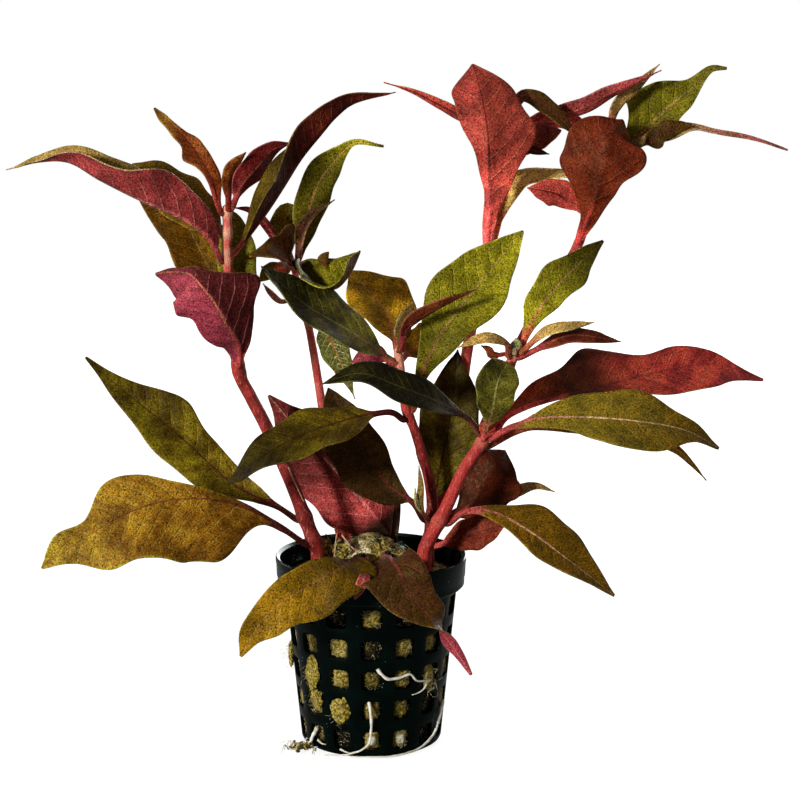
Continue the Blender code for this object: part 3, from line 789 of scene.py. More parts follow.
@dataclass
class Leaf:
    """A leaf, by the way of its midrib. Its sizes are those of the source, or near them.

    stem: name of the stem that it grows from, or nothing for the crown in the wool.
    look: the leaf's look in the source, which names its slot there; not used here.
    way: points (x, z, depth) from the root to the tip, as seen on the plane of the pot's axis.
    width: its greatest width.
    turn: degrees that the blade is turned about its midrib, at even distances along it.
    fold: degrees that each half rises from the midrib.
    peak: share of the blade's length at which it is widest.
    stalk: share of the length that is a bare stalk.
    wave: height of the waves along its edges.
    sides: how much wider than usual the left and right half are.
    pointed: how quickly the blade narrows to both ends.
    halves: widths of the left and right half at even distances, in place of peak to pointed.
    top and under: what the upper side and the underside look like.
    tone: share of the skin's second colour, at even distances from the root to the tip.
    lean: how much more of it the right half has, or the left half if below 0.
    dark: painted shade on the blade, at even distances from the root to the tip; below 0, painted light.
    """
    name: str
    stem: str
    look: str
    way: tuple
    width: float
    turn: tuple = (0, 0)
    fold: float = 10.0
    peak: float = 0.5
    stalk: float = 0.1
    wave: float = 0.0
    sides: tuple = (1.0, 1.0)
    pointed: float = 2.3
    halves: tuple = ()
    top: Skin = Skin.OLIVE
    under: Skin = Skin.WINE
    tone: tuple = (0.25, 0.25)
    lean: float = 0.0
    dark: tuple = (0.0, 0.0)

    def half_width(self, side: int, share: Array) -> Array:
        """Width of the left (-1) or right (1) half at shares of the length from the root.

        Args:
            side: -1 or 1.
            share: the shares.

        Returns:
            A width in millimetres for each share.
        """
        stalk = min(STALK_HALF_WIDTH, self.width / 4)
        if self.halves:
            return np.maximum(smooth_values(self.halves[side > 0], share), 0.12)
        inner = np.clip((share - self.stalk) / (1 - self.stalk), 1e-6, 1)
        rise = (inner / self.peak) ** (self.pointed * self.peak)
        fall = ((1 - inner) / (1 - self.peak)) ** (self.pointed * (1 - self.peak))
        blade = self.width / 2 * self.sides[side > 0] * rise * fall
        return np.where(inner > self.peak, np.maximum(blade, 0.15), np.maximum(blade, stalk))

    def midrib(self, stems: dict) -> tuple[Array, float]:
        """The midrib, begun inside the stem or the wool.

        Args:
            stems: the plant's stems by name.

        Returns:
            Its points in millimetres, and how far they begin inside.
        """
        points = seen(self.way)
        if self.stem:
            stem = stems[self.stem]
            line = stem.line(LINE_STEPS)
            index = int(np.argmin(np.linalg.norm(line - points[0], axis=1)))
            centre = line[index]
            way = unit(line[min(index + 1, LINE_STEPS)] - line[max(index - 1, 0)])
            out = points[1] - centre
            out = unit(out - out.dot(way) * way)
            radius = float(stem.radius_at(index / LINE_STEPS))
            points[0] = centre + out * (radius + GAP + BLADE_THICKNESS)
            start = centre + out * radius * 0.3
        else:
            points[0][2] = plug_top(math.hypot(points[0][0], points[0][1])) + GAP + STALK_HALF_WIDTH
            start = points[0] + np.array((0.0, 0.5, -3.0))
        return np.concatenate((start[None], points)), float(np.linalg.norm(points[0] - start))

    def build(self, stems: dict, seed: int) -> Thing:
        """The leaf: a fine grid laid along the midrib and quilted between its side veins.

        Args:
            stems: the plant's stems by name.
            seed: number that the leaf's small unevenness comes from.

        Returns:
            The leaf, with its upper skin in slot 0 and its lower one in slot 1.
        """
        drawn = np.random.default_rng(seed)
        points, lead = self.midrib(stems)
        length = np.linalg.norm(np.diff(points, axis=0), axis=1).sum()
        rows = int(np.clip(round(length / LEAF_ROW), *LEAF_ROWS))
        columns = 2 * int(np.clip(round(self.width / LEAF_COLUMN), *HALF_COLUMNS))
        way = smooth_way(points, rows)
        arc = np.linspace(0, length, rows + 1) - lead
        share_of_row = np.clip(arc / arc[-1], 0, 1)
        tangent = unit(np.gradient(way, axis=0))
        right = unit(np.cross(tangent, unit(EYE - way)))
        front = np.cross(right, tangent)
        turn = np.radians(values_at(self.turn, share_of_row))
        cos, sin = np.cos(turn)[:, None], np.sin(turn)[:, None]
        outward = right * cos - front * sin
        upward = front * cos + right * sin

        thing, side, place = flat_sheet(self.name + "_blade", columns, rows)
        row = np.rint(place * rows).astype(int)
        share = share_of_row[row]
        halves = np.where(side > 0, self.half_width(1, share), self.half_width(-1, share))
        flat = np.abs(side)
        uneven = EDGE_STRAY * np.sin(share * 23 + side * 2 + drawn.uniform(0, 6)) * (halves > 1.5)
        halves = halves * (1 + uneven * flat)
        across = side * halves
        spacing = float(np.clip(self.width / 4.2, *VEIN_SPACING))
        phase = (arc[row] - VEIN_SLANT * np.abs(across) - VEIN_CURVE * across ** 2) / spacing
        phase = phase + np.where(side > 0, 0.5, 0.0) + drawn.uniform(0, 1)
        edge = (1 - flat) * halves
        fold = math.radians(self.fold)
        rise = halves * math.sin(fold) * flat * (1.35 - 0.35 * flat)
        rise += self.wave * side * (2 * halves / self.width) * np.sin(share * EDGE_WAVES * math.tau)
        pillow = np.abs(np.sin(phase * math.pi)) ** 0.7
        soft = np.clip(np.abs(across) / 1.2, 0, 1) * np.clip(edge / 1.5, 0, 1)
        rise += min(PILLOW, self.width / 60) * (pillow - 0.5) * soft
        flutter = np.sin(share * drawn.uniform(14, 22) + drawn.uniform(0, 6, 2)[(side > 0).astype(int)])
        rise += min(FLUTTER, self.width / 40) * flutter * flat ** 3 * np.clip(halves / 3, 0, 1)
        spots = way[row] + outward[row] * (across * math.cos(fold))[:, None] + upward[row] * rise[:, None]
        place_points(thing, spots)

        tone = values_at(self.tone, share) + self.lean * (np.clip(side * halves / 1.5, -1, 1) * 0.5)
        note(thing, "place", np.stack((phase, across, edge), axis=1))
        note(thing, "share", share)
        note(thing, "tone", tone)
        # Painted shade along the blade, and painted light where the values are below 0.
        note(thing, "dark", values_at(self.dark, share))
        self.thicken(thing, across, halves, share)
        return thing

    def thicken(self, thing: Thing, across: Array, halves: Array, share: Array) -> None:
        """Give the grid its thickness: a thin blade with a stout midrib and a round stalk.

        Args:
            thing: the grid.
            across: distance of each vertex from the midrib.
            halves: width of its half of the blade there.
            share: its share of the length.
        """
        rib = RIB_THICKNESS * (1 - 0.8 * share) * bump(across, 0.8)
        stalky = np.clip((1.6 - halves) / 0.8, 0, 1) * (share < 0.6)
        rounded = np.sqrt(np.clip(1 - (across / np.maximum(halves, 0.1)) ** 2, 0, 1))
        body = SKIN_THICKNESS + rib + stalky * 0.45 * rounded
        body = np.minimum(body, np.maximum(1.6 * halves, 0.2))
        group = thing.vertex_groups.new(name="body")
        for index, value in enumerate(body / THICKEST):
            group.add((index,), float(min(value, 1)), "REPLACE")
        skin = thing.modifiers.new("body", "SOLIDIFY")
        skin.thickness = THICKEST * MM
        skin.offset = 0
        skin.vertex_group = "body"
        skin.material_offset = 1
        for look in (self.top, self.under):
            thing.data.materials.append(LeafPress.material(look))
        apply_modifiers(thing)
        thing.vertex_groups.clear()


STEMS = (
    Stem("stem_left", 1.8, (
        (-14, 50, -8), (-15, 53, -8), (-18, 61, -7), (-21, 69, -7), (-27, 83, -6), (-31, 91, -6),
        (-34, 98, -6), (-35, 112, -6), (-36.5, 126, -6), (-36.5, 133, -6), (-36.5, 140, -6)),
         (0.2, 0.15, 0.2, 0.45, 1.0)),
    Stem("stem_left_back", 1.3, (
        (-6.5, 54, 12), (-9, 64, 13), (-11.5, 80, 13), (-13, 91.5, 12), (-16, 110, 9),
        (-20, 126, 6)), (0.4, 0.8, 0.9)),
    Stem("stem_middle", 1.5, (
        (15, 52, 1), (16, 61, 1), (15, 70, -1), (11.5, 82, -4), (9, 89, -6), (7, 103.5, -7)),
         (0.1, 0.1, 0.3, 0.8)),
    Stem("stem_right", 1.75, (
        (14, 50, -8), (16, 54.5, -8), (20, 62.5, -8), (24, 71.5, -8), (28.5, 78.5, -8),
        (31, 83.5, -8), (34, 91.5, -8), (37.5, 104.5, -8)), (0.4, 0.5, 0.5, 0.65)),
    Stem("stem_tall", 1.6, (
        (15, 53, 8), (18.5, 64, 10), (22, 80, 11), (25, 103.5, 10), (30, 129, 9), (31, 141, 9),
        (35, 162, 11)), (0.3, 0.6, 1.1, 1.1)),
    Stem("stem_tall_right", 1.5, (
        (15, 54, 14), (22, 69, 16), (29.5, 83.5, 16), (36, 99.5, 15), (43.5, 115, 14),
        (53.5, 131.5, 13), (59.5, 151, 13), (62.5, 157.5, 13)), (0.3, 0.4, 0.5)),
)

# The dark values of the leaves are painted shade, and painted light where below 0.
LEAVES = (
    # Left stem, from the crown down
    Leaf("left_leaf_long", "stem_left", "magenta", (
        (-38, 126.5, -7), (-40.5, 131, -9), (-44.5, 135, -11), (-50.5, 138.5, -13), (-58.5, 142, -14),
        (-68.5, 147, -14), (-76.5, 151.5, -12), (-84.5, 151.5, -10), (-92.5, 149.5, -8)),
        18, (150, 140, 115, 82, 70, 55, 40), 50, 0.36, 0.05, pointed=2.6, top=Skin.TAN, under=Skin.CERISE,
        tone=(0.2, 0.1), dark=(0.25, -0.1, -0.5)),
    Leaf("left_leaf_upper_back", "stem_left", "olive", (
        (-38, 134, -2), (-42.5, 137, 4), (-48.5, 142, 9), (-54.5, 147.5, 13), (-60.5, 151, 16)),
        14, (20, 30), 12, stalk=0.05, pointed=1.8, tone=(0.3, 0.1), dark=(0.3, 0, 0)),
    Leaf("left_leaf_lower_back", "stem_left", "olive", (
        (-34, 98.5, -3), (-37, 116, 2), (-42, 125.5, 5), (-48, 136.5, 9), (-59, 142.5, 13)),
        15.5, (10, 10), peak=0.6, tone=(0.5, 0.8), lean=-0.7, dark=(0.2, 0.1, 0)),
    Leaf("left_leaf_behind", "stem_left", "olive", (
        (-33.5, 102.5, -3), (-33.5, 113.5, -2), (-34, 126, -2), (-35, 139, 1)),
        10, peak=0.6, pointed=1.8, top=Skin.GREEN, tone=(0.2, 0.4)),
    Leaf("left_leaf_young_left", "stem_left", "brown", (
        (-37.5, 139, -7), (-40.5, 147, -8), (-44, 153.5, -6), (-48, 158.5, -4), (-54.5, 165, 0)),
        7, (20, 20), 20, wave=0.8, top=Skin.RUST, under=Skin.RUST, tone=(0, 0, 0.2, 0.9),
        halves=((0.8, 0.8, 1, 1.5, 2.5, 4.5, 2.5, 2.5, 2, 1.5, 0.3),
                (0.8, 1, 2, 3, 3, 2.5, 2.5, 1.5, 1, 0.8, 0.3))),
    Leaf("left_leaf_young_right", "stem_left", "red", (
        (-36, 140, -8), (-32.5, 146, -10), (-28.5, 150.5, -9), (-25, 154.5, -7), (-20, 156.5, -5)),
        7.5, (-150, -150), 15, 0.45, top=Skin.CRIMSON, under=Skin.CRIMSON, tone=(0, -0.1, 0),
        dark=(0.1, 0.3, 0.3)),
    Leaf("left_leaf_curved", "stem_left", "red", (
        (-35.5, 128, -7), (-30.5, 133.5, -10), (-26, 139.5, -13), (-22, 145.5, -15), (-17.5, 152.5, -16),
        (-12.5, 158.5, -16), (-8.5, 163, -15), (-3.5, 166.5, -12), (6.5, 169, -8)),
        13.5, (-62, -66, -72, -112, -125, -125), 40, 0.4, 0.06, top=Skin.DEEP_OLIVE, under=Skin.MAROON,
        tone=(-0.1, -0.1, 0), dark=(0.2, 0.35, 0.3, 0.1)),
    Leaf("left_leaf_front", "stem_left", "magenta", (
        (-33.5, 99.5, -8), (-34, 104.5, -13), (-37, 110, -17), (-40, 115.5, -20), (-43.5, 120, -21),
        (-46.5, 123, -19), (-51, 123.5, -17), (-55, 123, -15)),
        24, (180, 180), 12, under=Skin.MAGENTA, tone=(0.5, 0.5, 0.4), lean=-1.1,
        halves=((0.8, 1.5, 4, 7.5, 10, 12.5, 8, 4.5, 1.5, 1, 0.3),
                (0.8, 3, 5, 6, 7, 7.5, 9, 8.5, 8.5, 5.5, 0.3))),
    Leaf("left_leaf_low", "stem_left", "green", (
        (-18.5, 59, -5), (-24.5, 62, -3), (-36, 68, 2), (-49.5, 80.5, 6), (-62.5, 91.5, 8),
        (-73.5, 101.5, 9)),
        18, (15, 15), top=Skin.DEEP_OLIVE, tone=(0.2, 0.3, 0.3), lean=-0.2, dark=(0.4, -0.35, 0, 0.4, 0.3),
        halves=((0.8, 0.8, 2, 5, 7.5, 8, 7.5, 6, 4, 2, 0.3),
                (0.8, 0.8, 3, 4.5, 5, 6, 8.5, 6.5, 4, 1.5, 0.3))),
    Leaf("left_leaf_lowest", "stem_left", "olive", (
        (-18, 51.5, -10), (-26, 58, -13), (-34, 62, -16), (-43, 64, -19), (-53.5, 63.5, -22),
        (-64, 60, -25), (-76, 53, -27), (-86.5, 45.5, -28)),
        29, (15, 15), 8, wave=1.0, top=Skin.GOLD, under=Skin.COPPER, tone=(0, 0, 0.25, 0.85),
        dark=(0.2, 0.1, 0.05),
        halves=((0.8, 0.8, 3, 13.5, 17, 17, 14.5, 13, 11, 4, 0.3),
                (0.8, 0.8, 0.8, 1.5, 2.5, 4.5, 8.5, 9, 4, 4.5, 0.3))),
    # Slim stem behind the left one
    Leaf("slim_leaf_tall", "stem_left_back", "green", (
        (-19, 127, 6), (-16, 138, 7), (-13, 146.5, 8), (-7.5, 153.5, 8), (-3.5, 156.5, 7), (3.5, 155.5, 6)),
        10, (0, 20), 12, top=Skin.GREEN, tone=(1.2, 0.8, 0.5, 0), dark=(0.3, -0.2, 0.1, 0.4, -1.1, -2.0),
        halves=((0.8, 1.5, 3, 4, 4.6, 4.8, 4.5, 3.2, 1.2, 0.6, 0.3),
                (0.8, 1.5, 3, 4, 4.4, 4.2, 3.5, 1.8, 0.8, 0.6, 0.3))),
    Leaf("slim_leaf_left", "stem_left_back", "brown", (
        (-21.5, 125.5, 5), (-23, 127, 0), (-26, 128, -5), (-31, 127.5, -9)),
        15, (45, 45), 25, top=Skin.BROWN, under=Skin.MAROON, tone=(0.8, 0.6), dark=(-0.6, -0.9),
        halves=((0.8, 2, 3.5, 4, 4, 3.5, 3, 2, 1.5, 0.8, 0.3),
                (0.8, 5, 9.5, 8.5, 6.5, 5.2, 4, 3, 2, 1, 0.3))),
    Leaf("slim_leaf_back", "stem_left_back", "green", (
        (-20.5, 127, 9), (-22, 134, 13), (-21, 138.5, 14), (-17.5, 137.5, 12)),
        8, top=Skin.GREEN, tone=(0.6, 0.6)),
    Leaf("slim_leaf_young", "stem_left_back", "brown", (
        (-19, 127, 4), (-17, 134, 2), (-14, 138.5, 0), (-9, 142, -2)),
        4, (-40, -40), 30, 0.4, top=Skin.BLUSHED, under=Skin.BLUSHED, tone=(1.0, 0.5, 0.1)),
    Leaf("slim_leaf_folded", "stem_left_back", "green", (
        (-21, 125.5, 3), (-17, 122, -4), (-12.5, 119.5, -8), (-8.5, 119.5, -10), (-5, 123.5, -9),
        (-2.5, 129, -7)),
        19, (-72, -62, -40, -50, -72), 52, top=Skin.GREEN, under=Skin.BROWN, tone=(0.9, 0.3, 0.1),
        dark=(0.95, 0.75, 0, -0.1, 0.1)),
    Leaf("slim_leaf_hanging", "stem_left_back", "green", (
        (-15, 111.5, 9), (-11.5, 108.5, 8), (-7.5, 99.5, 7), (-4, 90.5, 6)),
        8, fold=8, peak=0.3, top=Skin.STREAKED, tone=(0.5, 0.5)),
    # Middle stem
    Leaf("middle_leaf_left", "stem_middle", "green", (
        (6, 100.5, -8), (-5.5, 108, -14), (-17, 115, -18), (-28, 125, -18)),
        16, (45, 60), stalk=0.08, sides=(0.95, 1.15), top=Skin.DARK_GREEN, tone=(1.4, 1.0, 0.2, -0.3),
        dark=(-0.6, -0.3, 0.2, 0.3)),
    Leaf("middle_leaf_back", "stem_middle", "brown", (
        (6.5, 103.5, -3), (4.5, 112, 3), (0, 118, 8), (-5.5, 124, 12)),
        18, (20, 30), under=Skin.COPPER, tone=(0, -0.1), dark=(-0.9, -2.4)),
    Leaf("middle_leaf_narrow", "stem_middle", "red", (
        (7.5, 103, -9), (10, 109.5, -14), (16.5, 114, -16), (27, 119, -16)),
        5, (-130, -120), 20, 0.4, top=Skin.MAROON, under=Skin.MAROON, tone=(0.2, 0.5)),
    Leaf("middle_leaf_right", "stem_middle", "green", (
        (10, 88, -6), (13.5, 97.5, -9), (18.5, 108, -10), (27, 119.5, -7), (39, 134, 0)),
        19.5, fold=8, top=Skin.GREEN, tone=(0.9, 0.5, 0.1, 0), dark=(0.5, 0.1, -0.5, -0.7),
        halves=((0.8, 0.8, 2, 3.5, 6.5, 9, 10, 8.5, 6, 3.5, 0.3),
                (0.8, 0.8, 2, 4, 5.5, 7, 8, 8, 5.5, 3, 0.3))),
    Leaf("middle_leaf_hidden", "stem_middle", "olive", (
        (8, 101.5, -3), (10.5, 103.5, 0), (15, 106, 3), (20.5, 110.5, 6)),
        10),
    Leaf("middle_leaf_low", "stem_middle", "green", (
        (8.5, 85.5, -6), (4.5, 87, -10), (-5.5, 85, -16), (-18.5, 80.5, -22), (-28.5, 75, -25),
        (-37.5, 68, -24)),
        15, (40, 50), top=Skin.DEEP_OLIVE, tone=(0.1, 0.2), dark=(0.4, 0, 0.1, 0.8, 0.85),
        halves=((0.8, 0.8, 1, 5, 7, 8.5, 9, 7.5, 5, 3, 0.3),
                (0.8, 0.8, 1, 4, 6, 7, 7, 6.5, 5, 3, 0.3))),
    Leaf("middle_leaf_lowest", "stem_middle", "brown", (
        (14.5, 58, -2), (11, 63, -1), (4, 68.5, 0), (-3, 80, 1), (-11, 93.5, 2)),
        17, stalk=0.15, sides=(1.15, 0.6), pointed=1.8, top=Skin.BROWN, tone=(0.4, 0.2), lean=-0.4,
        dark=(0.9, 0.5, 0.8)),
    # Right stem
    Leaf("right_leaf_left", "stem_right", "green", (
        (29.5, 80.5, -10), (25, 85.5, -13), (17.5, 89.5, -18), (7.5, 93.5, -22), (-2.5, 97, -24),
        (-12.5, 94.5, -24)),
        11, (40, 50), stalk=0.15, top=Skin.DARK_GREEN, tone=(0.6, 0.1, 0), dark=(0.3, 0.8, 0.5)),
    Leaf("right_leaf_front", "stem_right", "green", (
        (31, 81, -11), (31.5, 87.5, -14), (33, 95.5, -17), (35.5, 100, -12)),
        10.5, peak=0.62, pointed=1.6, top=Skin.DARK_GREEN, tone=(0.9, 0.7)),
    Leaf("right_leaf_red", "stem_right", "red", (
        (31, 81.5, -7), (35.5, 86, -7), (45, 90, -5), (59.5, 93.5, -1), (75, 97.5, 4), (89, 99.5, 8),
        (101.5, 95.5, 10)),
        18, (-40, -40), 8, wave=0.8, top=Skin.WINE, under=Skin.MAGENTA, tone=(0.9, 0.6, 0.1, 0),
        dark=(-0.6, -0.9, -1.1, 0.85, 0.75, -0.4, -0.6, -0.6, -0.8, -0.6, -0.4),
        halves=((0.8, 2, 6, 8.5, 12.5, 10.5, 7, 6.5, 4.5, 1.5, 0.3),
                (0.8, 0.8, 0.8, 1, 2.5, 5.5, 8.5, 9.5, 8, 4, 0.3))),
    Leaf("right_leaf_olive", "stem_right", "olive", (
        (31.5, 80, -11), (37.5, 83.5, -14), (46.5, 85.5, -18), (64.5, 85, -23), (80.5, 82.5, -25),
        (90.5, 77.5, -24)),
        17, (-35, -35), 8, wave=0.6, top=Skin.BROAD_OLIVE, tone=(0.1, 0.3, 1.1), dark=(0, 0, 0.15),
        halves=((0.8, 0.8, 1, 4, 6.5, 8, 8.5, 7.5, 4.5, 2.5, 0.3),
                (0.8, 0.8, 2, 3.5, 4.5, 7, 9.5, 8.5, 6.5, 2, 0.3))),
    Leaf("right_leaf_under", "stem_right", "red", (
        (30.5, 78.5, -4), (41.5, 83, -3), (59.5, 82.5, -1), (71.5, 80.5, 1), (79, 77.5, 1),
        (83.5, 73.5, 1), (87.5, 69, 1)),
        4, (-20, -20), 8, tone=(0.3, 0.8)),
    Leaf("right_leaf_arched", "stem_right", "olive", (
        (37, 101.5, -9), (35, 105, -11), (29.5, 106.5, -13), (22.5, 104, -14)),
        3, (20, 20), 8, top=Skin.TAN, under=Skin.OLIVE, tone=(0.3, 0.2), dark=(-0.6, -0.8)),
    Leaf("right_leaf_upright", "stem_right", "olive", (
        (38.5, 103, -7), (41.5, 110.5, -6), (48, 120, -3), (59.5, 131.5, 3)),
        12, fold=8, top=Skin.GREEN, tone=(0.1, 0.2, 1.0), dark=(-1.0, -0.85, -0.35, 0.5, 0.7),
        halves=((0.8, 0.8, 2, 4, 5, 5.5, 5.5, 4.5, 3, 2, 0.3),
                (0.8, 0.8, 1.5, 2.5, 3.5, 4, 4.5, 4.5, 3, 1.5, 0.3))),
    Leaf("right_leaf_small_upper", "stem_right", "olive", (
        (39, 102.5, -9), (45, 108, -12), (51.5, 109.5, -13), (57.5, 110.5, -13)),
        3.5, (-40, -40), 8, top=Skin.TAN, under=Skin.TAN, tone=(0, 0.1), dark=(-0.7, -0.6)),
    Leaf("right_leaf_small_lower", "stem_right", "red", (
        (38.5, 101.5, -8), (45, 104.5, -10), (52.5, 107, -11), (64.5, 105.5, -10)),
        5, (-40, -40), 8, top=Skin.MAROON, under=Skin.MAROON, tone=(0.2, 0.3)),
    Leaf("right_leaf_base", "stem_right", "olive", (
        (20, 58, -5), (24.5, 60.5, -7), (31.5, 60.5, -10), (41, 55.5, -16), (52.5, 47, -20), (64, 38, -21)),
        14, (-35, -35), 8, top=Skin.RIBBED_OLIVE, tone=(0.5, 0.4), dark=(0, 0, 0.3),
        halves=((0.8, 0.8, 1.5, 4, 7, 8.5, 8, 7, 5, 2.5, 0.3),
                (0.8, 0.8, 1.5, 2.5, 3.5, 4.5, 5.5, 4.5, 3, 1.5, 0.3))),
    # Tall stem
    Leaf("tall_leaf_front", "stem_tall", "red", (
        (30, 130.5, 6), (30.5, 143, 2), (30, 157, -1), (28.5, 167, 2), (26, 176, 8)),
        20, (180, 180), 8, under=Skin.ROSE, tone=(-0.2, 0.1, 0.4, 0.4), lean=-0.7,
        dark=(-3.2, -2.0, -0.25, 0, 0),
        halves=((1, 1.5, 2.5, 4.5, 7, 10.5, 12, 10.5, 8.5, 5, 0.3),
                (1, 1.5, 1.5, 1.5, 2.5, 3.5, 5.5, 6.5, 7.5, 7, 0.3))),
    Leaf("tall_leaf_arched", "stem_tall", "olive", (
        (31, 131, 12), (34, 140.5, 12), (37.5, 146.5, 13), (44.5, 148, 13), (52, 148, 12), (58.5, 145, 9)),
        7, (0, 0, -50, -70, -70), 8, top=Skin.TAN, under=Skin.TAN, tone=(0.1, 0.2),
        dark=(-1.6, -2.2, -1.4)),
    Leaf("tall_leaf_thin", "stem_tall", "red", (
        (34, 160, 10), (28, 161, 9), (21.5, 164, 8), (11.5, 169, 6), (3.5, 171.5, 4)),
        3.5, (150, 150), peak=0.3, stalk=0.05, top=Skin.TAN, under=Skin.ROSE, tone=(0.1, 0.1),
        dark=(-0.3, -1.0)),
    Leaf("tall_leaf_dark", "stem_tall", "olive", (
        (35, 163, 10), (38.5, 168, 9), (44.5, 165.5, 8), (52.5, 158, 7.5)),
        5, (-30, -30), stalk=0.05, top=Skin.BROWN, tone=(0.4, 0.8), dark=(-0.1, 0.2)),
    Leaf("tall_leaf_inner", "stem_tall", "red", (
        (33, 150, 9), (37.5, 154, 10), (43, 157.5, 10), (48.5, 159.5, 10)),
        7, (-150, -150), peak=0.6, top=Skin.CRIMSON, under=Skin.CRIMSON, tone=(0.9, 0.9)),
    Leaf("tall_leaf_short", "stem_tall", "red", (
        (35.5, 158, 15), (43, 162, 17), (49.5, 162, 17), (55.5, 159, 16)),
        6, (-150, -150), peak=0.65, stalk=0.05, top=Skin.CRIMSON, under=Skin.CRIMSON, tone=(0.8, 0.8),
        dark=(-0.8, -1.2)),
    Leaf("tall_leaf_long", "stem_tall", "red", (
        (36, 161, 12), (45, 163, 13), (53, 165, 12), (62, 169.5, 9.5), (73.5, 174.5, 8)),
        5, (-150, -150), 15, 0.4, 0.05, top=Skin.CRIMSON, under=Skin.CRIMSON, tone=(1, 0.8),
        dark=(-0.5, -0.2)),
    Leaf("tall_leaf_dark_low", "stem_tall", "green", (
        (16.5, 59.5, 8), (18, 72, 6), (20.5, 85, 6), (22.5, 103.5, 8)),
        16.5, top=Skin.DEEP_OLIVE, tone=(0.5, 0.5, 0.1), lean=0.5, dark=(0.2, 0.5, 0.95)),
    Leaf("tall_leaf_red_low", "stem_tall", "magenta", (
        (21, 57.5, 6), (25.5, 62, 5), (29.5, 68.5, 5), (32.5, 73.5, 5), (35, 77, 9)),
        18, (180, 180), 15, 0.6, sides=(1.1, 1.0), under=Skin.COPPER, tone=(0.3, 0),
        dark=(0.1, 0.78, 0.5, 0.88)),
    # Tall right stem
    Leaf("far_leaf_front", "stem_tall_right", "red", (
        (53.5, 131, 10), (56.5, 140, 6), (59, 149.5, 2), (61, 158.5, 3), (64, 162, 9)),
        22, (180, 180), 8, top=Skin.GREEN, under=Skin.COPPER, tone=(0, 0.1), dark=(-0.7, 0.1, 0.15, 0.1),
        halves=((0.8, 1.5, 2.5, 3.5, 4.5, 6, 10, 10, 9, 8, 0.3),
                (0.8, 1.5, 2, 4.5, 7, 10, 11.5, 11, 9, 3.5, 0.3))),
    Leaf("far_leaf_pink", "stem_tall_right", "magenta", (
        (55.5, 138.5, 13), (52, 140.5, 10), (47.5, 143.5, 8), (40, 145, 6)),
        8, (150, 170), 12, stalk=0.05, under=Skin.ROSE, tone=(0.2, 0), dark=(-0.5, -0.6)),
    Leaf("far_leaf_narrow", "stem_tall_right", "brown", (
        (59.5, 161, 12), (62, 165.5, 13), (67, 170.5, 13), (73, 176, 12)),
        3.5, (30, 30), 15, 0.45, 0.05, top=Skin.TAN, under=Skin.BROWN, tone=(0.5, 0.2), dark=(-0.5, -0.5)),
    Leaf("far_leaf_green", "stem_tall_right", "green", (
        (63.5, 154.5, 16), (69.5, 159.5, 18), (74.5, 164.5, 18), (81, 170, 17), (85.5, 174.5, 16),
        (90, 175, 15)),
        17.5, fold=8, top=Skin.GREEN, tone=(0.7, 0.3, 0),
        halves=((0.8, 1.5, 5, 9, 9.5, 8, 5.5, 3, 1.5, 1, 0.3),
                (0.8, 1, 3, 4.5, 5, 4.5, 4, 2.5, 1.5, 0.8, 0.3))),
    Leaf("far_leaf_edge", "stem_tall_right", "olive", (
        (63, 154.5, 11), (69, 156.5, 11), (74.5, 158.5, 10), (81, 160, 9), (87.5, 159, 8), (96.5, 157.5, 7),
        (106, 154.5, 5)),
        8, (-55, -50), 20, wave=0.9, top=Skin.BLUSHED, under=Skin.BLUSHED,
        tone=(0.3, 0, -0.2, 0.6, 1.2, 1.2), dark=(0.7, 0.4, 0, 0, -0.1),
        halves=((0.8, 1.5, 2.4, 2.4, 2, 1.5, 0.9, 0.7, 0.6, 0.5, 0.2),
                (0.8, 2, 3.5, 4, 3.5, 2.5, 1.2, 0.7, 0.6, 0.5, 0.2))),
    Leaf("far_leaf_low", "stem_tall_right", "olive", (
        (21, 58.5, 11), (28.5, 64, 12), (37.5, 66, 12), (43, 67.5, 12), (48, 66, 12)),
        5, (-40, -40), 8, 0.45, top=Skin.TAN, under=Skin.TAN, tone=(0.1, 0.2)),
    # Leaves that grow from the crown in the wool
    Leaf("crown_leaf_red", "", "magenta", (
        (6, 54, 5), (-1, 62, 6), (-9.5, 72, 7), (-18.5, 82, 7), (-26.5, 91.5, 7)),
        23, (180, 170), 8, under=Skin.CERISE, tone=(0, 0, 0.4, 0.9),
        dark=(0.98, 0.97, -0.8, -0.9, 0.3, 0.65, 0.85, 0.5, 0.2),
        halves=((0.8, 6.0, 9.0, 10.8, 11.3, 11.4, 10.4, 8.4, 5.7, 2.6, 0.3),) * 2),
    Leaf("crown_leaf_red_right", "stem_middle", "red", (
        (19.5, 51.5, 1), (24, 54, 0), (29, 55.5, -1), (35.5, 57.5, -2)),
        9, (180, 180), 8, stalk=0.05, tone=(0.5, 0.5)),
    Leaf("crown_leaf_front_left", "", "olive", (
        (-2.5, 48, -8), (-8, 45.5, -26), (-16, 41, -29), (-24, 36, -32), (-30.5, 29, -33),
        (-34.5, 21.5, -33)),
        17, (90, 60, 10, 0, 0, 0), 8, tone=(0.2, 0), dark=(0.9, 0.8, 0.5, 0.15, -0.5, -0.55, -0.45),
        halves=((0.8, 0.8, 2.5, 8, 8, 9, 8, 7, 5.5, 2.5, 0.3),
                (0.8, 0.8, 1.5, 3, 4, 5.5, 5.5, 4.5, 4, 3, 0.3))),
    Leaf("crown_leaf_front_right", "", "brown", (
        (3.5, 50, -8), (7, 45.5, -27), (10, 38.5, -30), (16.5, 31, -32), (21.5, 24.5, -32),
        (26.5, 16.5, -31)),
        16.5, (-90, -50, 0, 0, -35, -150, -170), 8, top=Skin.BROWN, under=Skin.MAGENTA,
        tone=(0.8, 0.7, 0.1), dark=(0.3, 0.1, 0.2, 0.3, -0.3, -0.5),
        halves=((0.8, 0.8, 2, 5, 6.5, 6.5, 5.5, 5, 2.6, 1.1, 0.3),
                (0.8, 0.8, 3, 9, 10, 7.5, 5, 3, 1.7, 1.2, 0.3))),
)
